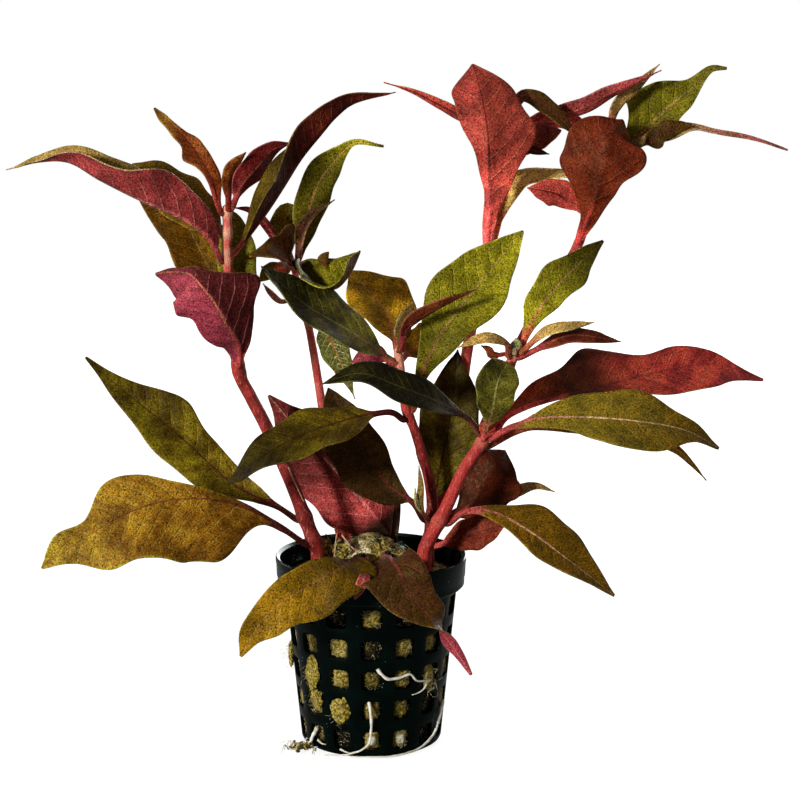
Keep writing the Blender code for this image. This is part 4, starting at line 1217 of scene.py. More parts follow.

# The dark values of the scraps are painted shade, and painted light where below 0.
SCRAPS = (
    # Bud leaves and scraps that are too small to be solids
    Leaf("bud_leaf_pale", "stem_middle", "green", (
        (7, 104.5, -9), (8, 108.5, -11), (11, 116, -11)),
        4.5, (20, 20), top=Skin.TAN, under=Skin.TAN),
    Leaf("bud_leaf_left", "stem_middle", "magenta", (
        (6, 99, -7), (3.5, 101.5, -8), (0, 102.5, -9), (-5, 100, -9)),
        5.5, (-160, -160), top=Skin.MAGENTA, under=Skin.MAGENTA),
    Leaf("bud_leaf_red", "stem_left", "red", (
        (-37, 144.5, -8), (-35.5, 149, -11), (-31.5, 154, -12)),
        4, (-150, -150), top=Skin.CRIMSON, under=Skin.RUST),
    Leaf("side_leaf_thin", "stem_left_back", "red", (
        (-19, 127, 6), (-25.5, 134, 4), (-30, 139, 2), (-35, 140, 0)),
        2.5, top=Skin.CRIMSON, under=Skin.CRIMSON),
    Leaf("side_leaf_pink", "stem_left_back", "magenta", (
        (-18, 116.5, 6), (-23, 116, 3), (-25.5, 118, 0), (-27.5, 120.5, -3)),
        1.7, (160, 160), top=Skin.BLUSHED, under=Skin.BLUSHED, tone=(0.6, 1), dark=(-0.4, -0.2)),
    Leaf("bud_leaf_strip", "stem_right", "red", (
        (36, 102, -9), (31.5, 102, -10), (30.5, 103.5, -10), (28.5, 104.5, -10)),
        2.2, top=Skin.COPPER, under=Skin.COPPER),
    Leaf("bud_right", "stem_right", "green", (
        (37.5, 102.5, -9), (37.5, 104.5, -9), (37.5, 106.5, -9)),
        3, top=Skin.PALE, under=Skin.PALE),
    Leaf("sheath_right", "stem_right", "magenta", (
        (30, 79.5, -11), (30, 82, -11), (30, 85, -11)),
        5, (180, 180), top=Skin.ROSE, under=Skin.ROSE),
    Leaf("far_leaf_crumpled", "stem_tall_right", "brown", (
        (66, 154, 10), (69.5, 156, 8), (73.5, 158.5, 7), (78, 160.5, 7), (82, 160.5, 7)),
        5, (20, 75, -40, 30), wave=1.5, top=Skin.BROWN, under=Skin.TAN, tone=(0.9, 0.1), dark=(0.6, 0.3)),
    Leaf("dry_strip", "stem_middle", "olive", (
        (14, 57.5, -4), (13, 62.5, -5), (13, 68, -5), (12.5, 73, -5)),
        1.8, top=Skin.TAN, under=Skin.TAN),
    Leaf("crown_scrap", "", "magenta", (
        (-1, 48, -8), (-1.6, 43.6, -26), (-2, 42.4, -28.5), (-4.3, 37.2, -29)),
        4, top=Skin.CERISE, under=Skin.CERISE, tone=(-0.2, -0.2), dark=(0.3, 0),
        halves=((0.3, 0.3, 0.3, 0.3, 0.3, 0.4, 0.6, 1.1, 1.5, 1.3, 0.3),
                (0.3, 0.3, 0.3, 0.3, 0.3, 0.4, 0.6, 1.1, 1.5, 1.2, 0.3))),
    Leaf("crown_bud", "", "magenta", (
        (-6, 50, -2), (-7.5, 54, -4), (-9.5, 56, -5)),
        2.5, top=Skin.ROSE, under=Skin.ROSE),
    Leaf("slim_leaf_scrap", "stem_left_back", "green", (
        (-21, 125.5, 5), (-25, 124.5, 7), (-28.5, 121, 8)),
        4, top=Skin.GREEN, under=Skin.GREEN),
    Leaf("tall_bud_tip", "stem_tall", "brown", (
        (34.5, 158, 10), (40, 155, 9), (45.5, 153.5, 8)),
        2.2, top=Skin.MAROON, under=Skin.MAROON),
    Leaf("dry_strip_inner", "stem_middle", "olive", (
        (13, 58, -5), (12, 63, -6), (11.5, 67, -6)),
        1.4, (20, 40), top=Skin.PALE, under=Skin.TAN),
    Leaf("bud_leaf_dark", "stem_left_back", "brown", (
        (-20.5, 126, 4), (-22, 124.5, 2), (-25, 124, 1)),
        4, (30, 30), top=Skin.MAROON, under=Skin.MAROON),
    Leaf("slim_leaf_folded_half", "stem_left_back", "green", (
        (-20.5, 125.3, 3), (-16, 124.8, -1), (-11, 124.2, -4), (-6.5, 125.5, -6), (-3, 128.6, -6.8)),
        5.5, pointed=1.5, top=Skin.GREEN, under=Skin.GREEN, tone=(0.4, 0.1, 0), dark=(0.5, 0.1, -0.2)),
)


@dataclass(frozen=True)
class PotPlastic:
    """Glossy black plastic with a green cast, fine scuffs and water specks."""
    black: Colour = (0.0008, 0.001, 0.0008)
    green: Colour = (0.001, 0.003, 0.0025)
    speck: Colour = (0.5, 0.48, 0.38)
    tint: Colour = (0.35, 1.0, 0.8)

    def material(self) -> Material:
        """The plastic, cloudy and scuffed, with specks where the clouds are thick.

        Returns:
            The material.
        """
        paint = Paint("pot_black_plastic", 0.2, 0.12, self.tint)
        spot = paint.spot()
        cloud = paint.noise(spot, 220, 4)
        scuff = paint.noise(paint.spot((1, 1, 0.15)), 1500, 3)
        colour = paint.mix(paint.ramp(cloud, 0.35, 0.7), self.black, self.green)
        speck = paint.ramp(paint.cells(spot, 1100.0), 0.14, 0.08)
        speck = paint.times(speck, paint.ramp(cloud, 0.6, 0.68))
        colour = paint.mix(speck, colour, self.speck)
        paint.relief(paint.times_plus(scuff, 0.4, cloud), 0.06)
        return paint.finish(colour, paint.ramp(scuff, 0.3, 0.7, 0.1, 0.2))


@dataclass(frozen=True)
class MattedWool:
    """Matted yellow-brown wool with painted glints, and painted shade where it lies back behind the ribs.

    brown and straw: its strands, and shade and cream those where it is pale.
    bare: the clumps that stand out of the pot.
    debris: dark bits on top.
    glint: painted glints of light on single fibres.
    """
    brown: Colour = (0.11, 0.07, 0.006)
    straw: Colour = (0.55, 0.42, 0.07)
    shade: Colour = (0.3, 0.2, 0.05)
    cream: Colour = (0.95, 0.86, 0.55)
    bare: Colour = (0.85, 0.8, 0.62)
    debris: Colour = (0.016, 0.011, 0.003)
    glint: Colour = (0.95, 0.92, 0.75)

    def material(self) -> Material:
        """The wool, by "full" and "mound" noted on the plug and its clumps; "full" sets painted shade.

        Returns:
            The material.
        """
        paint = Paint("wool", 0.85, 0.12)
        full, mound = paint.number("full"), paint.number("mound")
        spot = paint.spot()
        cloud = paint.noise(spot, 320, 4)
        strands = paint.noise(spot, 1700, 4)
        colour = paint.mix(paint.ramp(strands, 0.38, 0.64), self.brown, self.straw)
        pale = paint.mix(paint.ramp(strands, 0.36, 0.6), self.shade, self.cream)
        colour = paint.mix(paint.ramp(paint.times_plus(cloud, 0.9, mound), 0.7, 1.1), colour, pale)
        colour = paint.mix(paint.ramp(full, 0.93, 0.99), colour, self.bare)
        debris = paint.times_plus(mound, -0.28, cloud)
        debris = paint.times(paint.ramp(debris, 0.45, 0.53), paint.ramp(mound, 0.02, 0.15))
        colour = paint.mix(debris, colour, self.debris)
        # Painted highlight: small white glints of light on the strands.
        glint = paint.ramp(paint.cells(spot, 1700.0), 0.26, 0.16)
        glint = paint.times(glint, paint.ramp(strands, 0.5, 0.58))
        # Painted shade: the wool goes near black where it lies back behind the ribs and in emptier windows.
        light = paint.ramp(paint.times_plus(cloud, 0.5, full), 0.35, 0.9, 0.015, 1.0)
        colour = paint.mix(glint, paint.scaled(colour, light), self.glint)
        paint.relief(strands, 0.5)
        return paint.finish(colour)


@dataclass(frozen=True)
class Drift:
    """Two colours that drift into each other.

    name, roughness and specular: as Paint takes them.
    scale and detail: the noise that they drift by, and reach what of it lies between them.
    depth: millimetres of unevenness, or 0.
    young and young_from: colour above a height in metres, where there is one.
    """
    name: str
    roughness: float
    specular: float
    scale: float
    reach: tuple
    first: Colour
    second: Colour
    depth: float = 0.0
    detail: float = 3.0
    young: Colour | None = None
    young_from: float = 0.0

    def material(self) -> Material:
        """The finish's material.

        Returns:
            The material.
        """
        paint = Paint(self.name, self.roughness, self.specular)
        cloud = paint.noise(paint.spot(), self.scale, self.detail)
        colour = paint.mix(paint.ramp(cloud, *self.reach), self.first, self.second)
        if self.young:
            height = paint.node("ShaderNodeSeparateXYZ", {0: paint.spot()}).outputs[2]
            young = paint.ramp(height, self.young_from - 0.003, self.young_from)
            colour = paint.mix(young, colour, self.young)
        if self.depth:
            paint.relief(cloud, self.depth)
        return paint.finish(colour)


GLASSY_FIBRE = Drift("wool_fibre", 0.4, 0.5, 400, (0.4, 0.6), (0.2, 0.14, 0.02), (0.7, 0.6, 0.3),
                     detail=2)
WAXY_ROOT = Drift("white_root", 0.35, 0.5, 500, (0.4, 0.7), (0.9, 0.88, 0.78), (0.6, 0.52, 0.32), 0.1,
                  young=(0.62, 0.3, 0.18), young_from=0.046)
OLIVE_CRUMB = Drift("wool_crumb", 0.8, 0.3, 700, (0.42, 0.6), (0.04, 0.03, 0.006), (0.5, 0.38, 0.08),
                    0.3)


@dataclass
class NetPot:
    """The black net pot: a collar over a tapering basket of square windows.

    ledge: height of the collar's lower edge.
    wall_top and wall_foot: the wall's outer radius under the collar and at the floor.
    columns and rows: windows around and above each other.
    first_row and row_pitch: height of the lowest window's sill and of the step to the next.
    window_share and slot_share: a hole's share of its cell's width, in the wall and the floor.
    front_window: degrees about the axis of the middle of the window in front.
    floor_inner and floor_outer: radii between which the floor is slotted.
    squareness: 2 for round holes, more for squarer ones.
    cell_side: points along each side of a hole's cell.
    edge_width: width of the rounded edges.
    """
    rim_radius: float = 25.0
    height: float = 49.5
    ledge: float = 41.5
    wall_top: float = 22.6
    wall_foot: float = 18.4
    thickness: float = 1.1
    columns: int = 15
    rows: int = 5
    first_row: float = 1.8
    row_pitch: float = 8.25
    window_height: float = 5.4
    window_share: float = 0.62
    front_window: float = -89.0
    floor_inner: float = 5.0
    floor_outer: float = 15.0
    slot_share: float = 0.6
    squareness: float = 5.0
    cell_side: int = 8
    edge_width: float = 0.2

    def wall_radius(self, height: Array) -> Array:
        """Outer radius of the wall below the collar."""
        return self.wall_foot + (self.wall_top - self.wall_foot) * height / self.ledge

    def cell(self) -> tuple[Array, Array]:
        """One window cell, within -1 and 1 both ways.

        Returns:
            Its rim and the rim of its rounded hole, as rows with as many points.
        """
        run = np.arange(self.cell_side) / self.cell_side * 2 - 1
        one = np.ones(self.cell_side)
        rim = np.concatenate([np.stack(pair, axis=1) for pair in
                              ((run, -one), (one, run), (-run, one), (-one, -run))])
        power = self.squareness
        hole = rim / ((np.abs(rim) ** power).sum(axis=1) ** (1 / power))[:, None]
        return rim, hole

    def polar(self, angle: Array, radius: Array, height: Array) -> Array:
        """Points from angles in degrees, radii and heights."""
        angle = np.radians(angle)
        return np.stack((radius * np.cos(angle), radius * np.sin(angle), height + 0 * angle), axis=-1)

    def build(self) -> Thing:
        """The pot with its wall, collar and slotted floor as one skin of one thickness.

        Returns:
            The pot.
        """
        rim, hole = self.cell()
        step = 360 / self.columns
        points, faces = [], []

        def add_cell(border: Array, inside: Array) -> None:
            """Frame one hole with faces."""
            faces.extend(faces_between(len(points) * len(rim), len(rim)))
            points.extend((border, inside))

        for column in range(self.columns):
            middle = self.front_window + column * step
            for row in range(self.rows):
                level = self.first_row + self.window_height / 2 + row * self.row_pitch
                heights = np.clip(level + rim[:, 1] * self.row_pitch / 2, 1.0, self.ledge)
                border = self.polar(middle + rim[:, 0] * step / 2, self.wall_radius(heights), heights)
                heights = level + hole[:, 1] * self.window_height / 2
                inside = self.polar(middle + hole[:, 0] * step / 2 * self.window_share,
                                    self.wall_radius(heights), heights)
                add_cell(border, inside)
            radii = (self.floor_outer + self.floor_inner) / 2
            spread = (self.floor_outer - self.floor_inner) / 2
            border = self.polar(middle + rim[:, 0] * step / 2, radii - rim[:, 1] * spread, 0 * rim[:, 0])
            inside = self.polar(middle + hole[:, 0] * step / 2 * self.slot_share,
                                radii - hole[:, 1] * (spread - 1), 0 * rim[:, 0])
            add_cell(border, inside)
        points = list(np.concatenate(points))
        around = self.columns * self.cell_side
        angles = self.front_window - step / 2 + np.arange(around) * 360 / around
        self.add_bands(points, faces, angles)
        thing = from_lists("net_pot_shell", np.array(points), faces)
        close_seams(thing, SEAM)
        wall = thing.modifiers.new("wall", "SOLIDIFY")
        wall.thickness = self.thickness * MM
        wall.offset = -1
        wall.use_even_offset = True
        edge = thing.modifiers.new("edge", "BEVEL")
        edge.width = self.edge_width * MM
        edge.segments = 2
        edge.limit_method = "ANGLE"
        edge.angle_limit = math.radians(ROUNDED_ANGLE)
        apply_modifiers(thing)
        return thing

    def add_bands(self, points: list, faces: list, angles: Array) -> None:
        """Add the collar above the windows, the foot below them and the middle of the floor.

        Args:
            points: rows in millimetres that it adds to.
            faces: faces that it adds to.
            angles: degrees about the axis of the points of each ring.
        """
        rim = self.rim_radius
        collar = ((self.wall_top, self.ledge), (rim - 0.85, self.ledge + 0.1),
                  (rim - 0.5, self.ledge + 0.5), (rim - 0.45, self.ledge + 2.6),
                  (rim - 0.25, self.ledge + 2.9), (rim - 0.15, self.height - 2.0),
                  (rim, self.height - 1.5), (rim, self.height - 0.3), (rim - 0.25, self.height))
        foot = ((self.wall_foot + 0.1, 1.0), (self.wall_foot - 0.2, 0.35), (self.wall_foot - 0.7, 0.05),
                (self.wall_foot - 1.0, 0.0), (self.floor_outer, 0.0))
        middle = ((self.floor_inner, 0.0), (2.0, 0.0), (0.01, 0.0))
        for band in (collar, foot, middle):
            for (radius, height), (radius_after, height_after) in zip(band, band[1:]):
                faces.extend(faces_between(len(points), len(angles)))
                points.extend(self.polar(angles, radius, height))
                points.extend(self.polar(angles, radius_after, height_after))


@dataclass
class WoolPlug:
    """The wool that fills the pot: it bulges into the windows and mounds up among the stems.

    grid: faces around, and from the middle of the top to that of the foot.
    inset: how far the wool lies inside the wall's outer face.
    foot_height: height of its underside.
    bulge: how far it bulges into a full window.
    rough_radius: radius within which its top is rough.
    fibre_count and clump_fibres: loose fibres on the plug, and on each clump.
    crown and crown_spread: the place on top where the wool is palest, and how far that reaches.
    fill: how far the wool fills the windows seen from the front, rows from the foot up,
        columns from the left.
    clumps: for each clump outside the plug, the angle in degrees, the radius and the height of
        its middle, then its width, thickness and height.
    """
    pot: NetPot
    grid: tuple = (300, 190)
    inset: float = 1.65
    foot_height: float = 1.4
    bulge: float = 1.25
    rough_radius: float = 21.0
    fibre_count: int = 3600
    clump_fibres: int = 90
    crown: tuple = (-3.2, -5.5)
    crown_spread: float = 2.8
    # The wool is painted darker, as shade, in windows whose fill is low.
    fill: tuple = ((0.3, 0.05, 1.0, 1.0, 0.05), (0.8, 0.9, 0.55, 0.6, 0.2),
                   (0.9, 0.85, 0.35, 0.85, 0.8), (0.6, 0.7, 0.2, 0.7, 0.6),
                   (0.1, 0.15, 0.6, 0.2, 0.2))
    clumps: tuple = (
        ((-176, 21.0, 23), (3.0, 1.6, 7.5)), ((-136, 20.8, 21.5), (4.5, 1.6, 8.5)),
        ((-134, 20.1, 15), (4.0, 1.4, 4.5)), ((-113, 19.9, 12.5), (5.0, 1.5, 6.5)),
        ((-44, 20.6, 19.5), (3.0, 1.2, 4.0)), ((-146, 9.0, 51.3), (6.0, 4.5, 6.5)),
        ((-165, 12.0, 50.0), (4.5, 4.0, 9.0)), ((-30, 8.5, 49.6), (4.0, 4.0, 3.2)))

    def window_at(self, angle: Array, height: Array) -> tuple[Array, Array]:
        """How far inside a window each point lies, and how full that window is.

        Args:
            angle: degrees about the axis.
            height: millimetres above the floor.

        Returns:
            0 on the ribs to 1 in the middle of a window, and the window's fill.
        """
        pot = self.pot
        step = 360 / pot.columns
        column = np.rint((angle - pot.front_window) / step)
        aside = (angle - pot.front_window - column * step) / (step / 2 * pot.window_share)
        level = (height - pot.first_row - pot.window_height / 2) / pot.row_pitch
        row = np.clip(np.rint(level), 0, pot.rows - 1)
        above = (level - row) * pot.row_pitch / (pot.window_height / 2)
        inside = np.clip(1 - aside ** 4, 0, 1) * np.clip(1 - above ** 4, 0, 1)
        drawn = np.random.default_rng(SEED).uniform(0.05, 1, (pot.rows, pot.columns))
        for index, levels in enumerate(self.fill):
            for place, value in zip((-2, -1, 0, 1, 2), levels):
                drawn[index, place] = value
        full = drawn[row.astype(int), column.astype(int) % pot.columns]
        return inside, full

    def paleness(self, points: Array) -> Array:
        """How pale the wool on top is at the given points, most of all at the crown."""
        to_crown = np.linalg.norm(points[:, :2] - self.crown, axis=1)
        return 0.2 + 0.8 * bump(to_crown, self.crown_spread)

    def profile(self) -> Array:
        """Outline of the plug, from the top of the mound down to the middle of its foot.

        Returns:
            Rows of radius and height in millimetres.
        """
        pot = self.pot
        neck = float(pot.wall_radius(pot.ledge)) - self.inset
        foot = float(pot.wall_radius(self.foot_height)) - self.inset
        top = [(radius, plug_top(radius)) for radius in (0.01, 2, 4, 6, 8, 10, 12, 14, 17, 20)]
        top += [(pot.rim_radius - 0.7 - self.inset, PLUG_EDGE_HEIGHT), (neck, pot.ledge + 1.2)]
        return np.array(top + [(neck, pot.ledge), (foot, self.foot_height + 1),
                               (foot - 1, self.foot_height), (0.01, self.foot_height)])

    def build(self) -> Thing:
        """The plug, bulging through the windows and rough all over.

        Returns:
            The plug.
        """
        profile = self.profile()
        run = np.concatenate(([0], np.cumsum(np.linalg.norm(np.diff(profile, axis=0), axis=1))))
        thing, side, share = flat_sheet("wool_plug_mass", *self.grid)
        along = share * run[-1]
        radius = np.interp(along, run, profile[:, 0])
        height = np.interp(along, run, profile[:, 1])
        angle = side * 180
        inside, full = self.window_at(angle, height)
        wall = (height > self.foot_height + 0.8) & (height < self.pot.ledge)
        inside = np.where(wall, inside, 0)
        points = self.pot.polar(angle, radius, height)
        lumps = rough(points, 1.6, 1)
        tufts = rough(points, 0.55, 2)
        on_top = (height > PLUG_EDGE_HEIGHT - 0.2) & (radius < self.rough_radius)
        fade = np.clip((self.rough_radius - radius) / 3, 0, 1) * np.clip(radius / 0.6, 0, 1)
        height = height + on_top * fade * (1.0 * lumps + 0.7 * tufts)
        push = inside * (self.bulge * full + 0.25 * lumps + 0.18 * tufts) - (1 - inside) * 0.3
        radius = radius + np.where(wall, push, 0)
        place_points(thing, self.pot.polar(angle, radius, height))
        # The wool material paints shade by this number, near black behind the ribs and in emptier windows.
        note(thing, "full", np.where(wall, full * inside, np.where(on_top, 0.8, 0.2)))
        note(thing, "mound", np.where(on_top, self.paleness(self.pot.polar(angle, radius, 0)), 0))
        close_seams(thing, SEAM)
        return thing

    def fibres(self) -> Thing:
        """Loose fibres that stand off the wool in the windows and on the mound.

        Returns:
            The fibres as one piece.
        """
        drawn = np.random.default_rng(SEED + 1)
        taper = np.array((0.015, 0.04, 0.035, 0.01))
        lines, radii = [], []
        while len(lines) < self.fibre_count:
            if len(lines) % 5 < 3:
                angle, height = drawn.uniform(-180, 180), drawn.uniform(1.5, 41)
                inside, full = (float(v) for v in self.window_at(np.array(angle), np.array(height)))
                if inside < 0.35 or drawn.uniform() > 0.25 + full:
                    continue
                radius = float(self.pot.wall_radius(height)) - self.inset + self.bulge * full * inside
                out = self.pot.polar(angle, 1.0, 0.0)
                start = out * radius + (0, 0, height)
                reach = drawn.uniform(0.8, 2.0)
            else:
                angle, radius = drawn.uniform(0, math.tau), 19 * drawn.uniform() ** 0.75
                start = np.array((radius * math.cos(angle), radius * math.sin(angle), plug_top(radius)))
                out = np.array((0.0, 0.0, 1.0))
                reach = drawn.uniform(1.2, 3.5)
            aside = drawn.normal(0, 1, 3)
            aside = unit(aside - aside.dot(out) * out)
            bend = drawn.normal(0, 0.35, 3)
            bend = bend - bend.dot(out) * out
            steps = np.linspace(-0.5, 0.5, 4)[:, None]
            line = start + aside * steps * reach + bend * (0.25 - steps ** 2) * reach
            line = line + out * (0.12 + (0.25 - steps ** 2) * drawn.uniform(0.0, 1.0) * reach * 0.6)
            lines.append(line)
            radii.append(taper * drawn.uniform(0.7, 1.3))
        for angle, radius, height in (place for place, _ in self.clumps):
            middle = self.pot.polar(angle, radius + 0.4, height)
            for _ in range(self.clump_fibres):
                way = unit(drawn.normal(0, 1, 3))
                start = middle + drawn.normal(0, 1, 3) * (1.1, 1.1, 1.9)
                lines.append(start + way * np.linspace(-0.5, 0.5, 4)[:, None] * drawn.uniform(1, 2.6))
                radii.append(taper * drawn.uniform(0.7, 1.3))
        return make_tubes("wool_fibres", lines, radii, 3)

    def tuft(self, name: str, centre: tuple, size: tuple, seed: int) -> Thing:
        """A clump of wool on the outside of the pot or on top of the plug.

        Args:
            name: name of the piece.
            centre: angle in degrees, radius and height in millimetres of its middle.
            size: its width, thickness and height.
            seed: number that its shape comes from.

        Returns:
            The clump.
        """
        angle, radius, height = centre
        thing = add_shape(name, bpy.ops.mesh.primitive_ico_sphere_add, subdivisions=5, radius=1)
        ball = read_points(thing)
        lumps = 1 + 0.35 * rough(ball * 3, 1.6, seed) + 0.16 * rough(ball * 3, 0.5, seed + 1)
        ball = ball * lumps[:, None]
        turned = angle + ball[:, 0] * size[0] / 2 / radius * DEGREES_PER_RADIAN
        points = self.pot.polar(turned, radius + ball[:, 1] * size[1] / 2,
                                height + ball[:, 2] * size[2] / 2)
        place_points(thing, points)
        note(thing, "full", np.full(len(ball), 0.85))
        note(thing, "mound", self.paleness(points) * (height > PLUG_EDGE_HEIGHT))
        return thing

    def build_all(self) -> None:
        """Build the plug, its fibres and the clumps."""
        wool = MattedWool().material()
        settle(self.build(), wool, ("wool_plug",))
        settle(self.fibres(), GLASSY_FIBRE.material())
        for index, (centre, size) in enumerate(self.clumps):
            settle(self.tuft(f"wool_tuft_{index + 1}", centre, size, 20 + index), wool)


@dataclass
class Roots:
    """Thin white roots that come out of the windows and run down to the floor.

    ways and radii: points along each root in millimetres, and its radius.
    hairs and crumb_count: broken root ends and crumbs of wool at the pot's foot.
    """
    ways: tuple = (
        ((1.8, -20.8, 24.4), (4.3, -21.3, 22.1), (7.6, -20.2, 22.0), (10.2, -19.0, 22.5),
         (12.0, -17.8, 20.4), (15.3, -14.8, 19.5)),
        ((14.8, -14.9, 19.6), (13.3, -16.2, 17.3), (10.7, -17.6, 16.6)),
        ((-0.3, -19.6, 15.4), (0.2, -20.5, 11.8), (0.2, -20.2, 7.9), (-0.3, -20.0, 4.6),
         (-2.7, -19.4, 2.3), (-6.6, -18.6, 0.9), (-11.8, -17.3, 0.5)),
        ((18.9, -6.6, 11.8), (17.8, -8.8, 6.9), (16.2, -10.9, 3.6), (13.0, -14.2, 1.4),
         (8.9, -17.2, 0.8), (3.7, -18.9, 0.5), (-5.3, -18.8, 0.5)),
        ((-13.8, -12.9, 6.3), (-15.0, -12.3, 4.0), (-15.9, -11.6, 1.8), (-17.2, -11.9, 0.6),
         (-21.0, -13.4, 0.5)),
        ((-13.7, -13.3, 3.1), (-12.6, -14.8, 2.6), (-11.5, -15.0, 2.4)),
        ((-7.8, -17.7, 2.1), (-6.2, -18.6, 1.6), (-4.7, -18.3, 1.2)),
        ((-8.5, -4.5, 56.5), (-9.0, -6.5, 54.5), (-9.2, -7.5, 51.5), (-9.6, -9.0, 49.0)),
        ((-8.0, -4.0, 56.0), (-6.5, -5.5, 54.5), (-5.0, -7.0, 53.0), (-3.6, -7.5, 52.0)),
        ((-21.0, -8.3, 74.3), (-19.0, -9.2, 69.5), (-17.0, -9.6, 65.5)))
    radii: tuple = (0.42, 0.25, 0.38, 0.36, 0.5, 0.28, 0.25, 0.17, 0.24, 0.2)
    hairs: int = 22
    crumb_count: int = 80

    def build(self) -> Thing:
        """The roots, and finer broken ones lying at the foot of the pot.

        Returns:
            The roots as one piece.
        """
        drawn = np.random.default_rng(SEED + 2)
        lines, radii = [], []
        for way, radius in zip(self.ways, self.radii):
            line = smooth_way(np.array(way), len(way) * 7)
            lines.append(line + 0.12 * np.stack([rough(line + 40 * axis, 1.7, 5) for axis in (0, 1, 2)], 1))
            share = np.linspace(0, 1, len(line))
            radii.append(radius * (1.15 - 0.75 * share) * (1 + 0.12 * np.sin(share * 40)))
        for _ in range(self.hairs):
            start = np.array((drawn.normal(-19, 2.2), drawn.normal(-11, 1.6), 0.35))
            bearing = drawn.uniform(0, math.tau)
            steps = np.linspace(0, 1, 6)[:, None]
            way = np.array((math.cos(bearing), math.sin(bearing), 0.0))
            bend = np.array((-way[1], way[0], 0.0)) * drawn.normal(0, 0.5)
            reach = drawn.uniform(1.2, 4.5)
            lift = np.array((0, 0, 1.0)) * np.sin(steps * math.pi) * drawn.uniform(0, 1.6)
            lines.append(start + way * steps * reach + bend * steps ** 2 * reach + lift)
            radii.append(np.linspace(0.16, 0.05, 6) * drawn.uniform(0.6, 1.3))
        return make_tubes("white_roots", lines, radii, 8)

    def crumbs(self) -> Thing:
        """Crumbs of wool and dirt among the roots at the foot of the pot.

        Returns:
            The crumbs as one piece.
        """
        drawn = np.random.default_rng(SEED + 3)
        lines, radii = [], []
        for _ in range(self.crumb_count):
            start = np.array((drawn.normal(-17.8, 1.5), drawn.normal(-12.3, 1.2), drawn.uniform(0.5, 1.8)))
            way = drawn.normal(0, 1, 3) * (1, 1, 0.3)
            size = drawn.uniform(0.4, 1.1)
            lines.append(start + unit(way) * np.linspace(-0.6, 0.6, 4)[:, None] * size)
            radii.append(np.array((0.15, 0.5, 0.45, 0.1)) * size * drawn.uniform(0.6, 1.1))
        return make_tubes("wool_crumbs", lines, radii, 6)

    def build_all(self) -> None:
        """Build the roots and the crumbs."""
        settle(self.build(), WAXY_ROOT.material())
        settle(self.crumbs(), OLIVE_CRUMB.material())


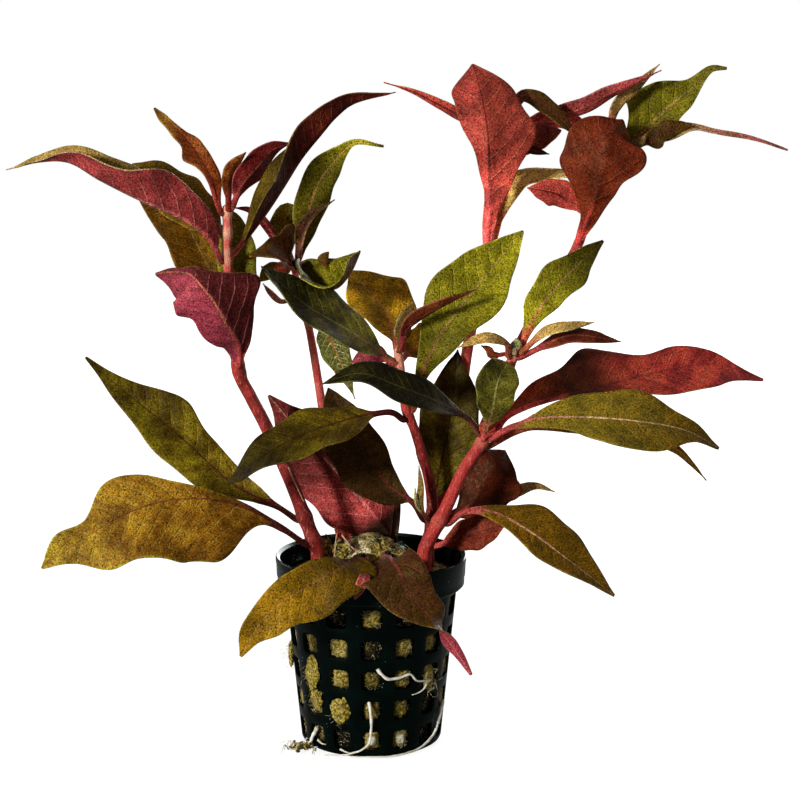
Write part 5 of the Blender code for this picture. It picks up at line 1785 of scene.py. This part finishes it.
@dataclass
class Studio:
    """A white table under soft lights, and the camera.

    Places, diameters and radii here are in metres.

    camera_pitch: radians that the camera looks down.
    lens and sensor: focal length and sensor width in millimetres.
    lights: the name of each, its place, its diameter and its power in watts.
    aim: where the lights point.
    sky: strength of the even white light from all around.
    """
    camera_place: tuple = (0.0076, -0.5, 0.172)
    camera_pitch: float = 0.162
    lens: float = 88.02
    sensor: float = 36.0
    lights: tuple = (
        ("key", (-0.62, -0.75, 0.31), 0.15, 10.5),
        ("fill", (0.75, -0.6, 0.35), 0.8, 0.5),
        ("top", (0.05, 0.1, 0.95), 0.9, 1.2),
        ("back", (0.25, 0.95, 0.3), 0.7, 7.0),
        ("right_side", (0.85, 0.55, 0.3), 0.7, 2.5),
        ("left_side", (-0.85, 0.6, 0.3), 0.7, 2.0))
    aim: tuple = (0.0, 0.0, 0.09)
    sky: float = 0.05
    floor_radius: float = 2.6
    backdrop_radius: float = 2.5

    def build(self) -> None:
        """Set the camera, the table, the backdrop and the lights."""
        camera = bpy.data.cameras.new("camera")
        camera.lens = self.lens
        camera.sensor_width = self.sensor
        stand = bpy.data.objects.new("camera", camera)
        stand.location = self.camera_place
        stand.rotation_euler = (math.pi / 2 - self.camera_pitch, 0, 0)
        bpy.context.scene.collection.objects.link(stand)
        bpy.context.scene.camera = stand
        for name, place, size, power in self.lights:
            light = bpy.data.lights.new(name, "AREA")
            light.shape = "DISK"
            light.size = size
            light.energy = power
            lamp = bpy.data.objects.new(name, light)
            lamp.location = place
            beam = Vector(self.aim) - lamp.location
            lamp.rotation_euler = beam.to_track_quat("-Z", "Y").to_euler()
            bpy.context.scene.collection.objects.link(lamp)
        self.table()
        world = bpy.data.worlds.new("studio")
        world.use_nodes = True
        sky = world.node_tree.nodes["Background"].inputs
        sky["Color"].default_value = (1.0, 1.0, 1.0, 1)
        sky["Strength"].default_value = self.sky
        bpy.context.scene.world = world
        bpy.context.scene.view_settings.view_transform = "Standard"
        bpy.context.scene.view_settings.look = "None"

    def table(self) -> None:
        """A pale floor, and a plain white backdrop that only shows behind the plant."""
        floor = add_shape("floor", bpy.ops.mesh.primitive_circle_add,
                          vertices=96, radius=self.floor_radius, fill_type="NGON")
        paint = Paint("pale_floor", 0.7, 0.1)
        away = paint.node("ShaderNodeVectorMath", {0: paint.spot()}, operation="LENGTH").outputs["Value"]
        paint.feed(paint.shader.inputs["Emission Color"], (1.0, 1.0, 1.0))
        glow = paint.ramp(away, 0.08, 0.4, 0.88, 1.0)
        looked_at = paint.node("ShaderNodeLightPath", {}).outputs["Is Camera Ray"]
        paint.feed(paint.shader.inputs["Emission Strength"], paint.times(glow, looked_at))
        floor.data.materials.append(paint.finish((0.26, 0.26, 0.255)))
        backdrop = add_shape("backdrop", bpy.ops.mesh.primitive_uv_sphere_add,
                             segments=48, ring_count=24, radius=self.backdrop_radius)
        glow = Paint("backdrop_white", 1.0, 0.0)
        glow.shader.inputs["Emission Color"].default_value = (1, 1, 1, 1)
        glow.shader.inputs["Emission Strength"].default_value = 1.0
        backdrop.data.materials.append(glow.finish((0.0, 0.0, 0.0)))
        for ray in ("diffuse", "glossy", "transmission", "shadow", "volume_scatter"):
            setattr(backdrop, "visible_" + ray, False)


@dataclass
class Plant:
    """The plant: its stems, the leaves that stand for solids, and the scraps that don't."""
    stems: tuple
    leaves: tuple
    scraps: tuple

    def build(self) -> None:
        """Build every stem, leaf and scrap."""
        by_name = {stem.name: stem for stem in self.stems}
        rind = StemRind().material()
        grown = self.leaves + self.scraps
        for stem in self.stems:
            joints = [seen(leaf.way)[0] for leaf in grown if leaf.stem == stem.name]
            settle(stem.build(joints), rind, (stem.name,))
        for index, leaf in enumerate(grown):
            thing = leaf.build(by_name, SEED * 100 + index)
            settle(thing, None, (leaf.name,) if index < len(self.leaves) else ())


def write_sizes() -> None:
    """Update the view layer so that the pieces' places are current."""
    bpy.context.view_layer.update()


def main() -> None:
    """Build the studio, the pot, the wool, the roots and the plant."""
    logging.basicConfig(level=logging.INFO, format="%(message)s")
    Studio().build()
    pot = NetPot()
    settle(pot.build(), PotPlastic().material(), ("net_pot",), True)
    WoolPlug(pot).build_all()
    Roots().build_all()
    Plant(STEMS, LEAVES, SCRAPS).build()
    write_sizes()


if __name__ == "__main__":
    main()
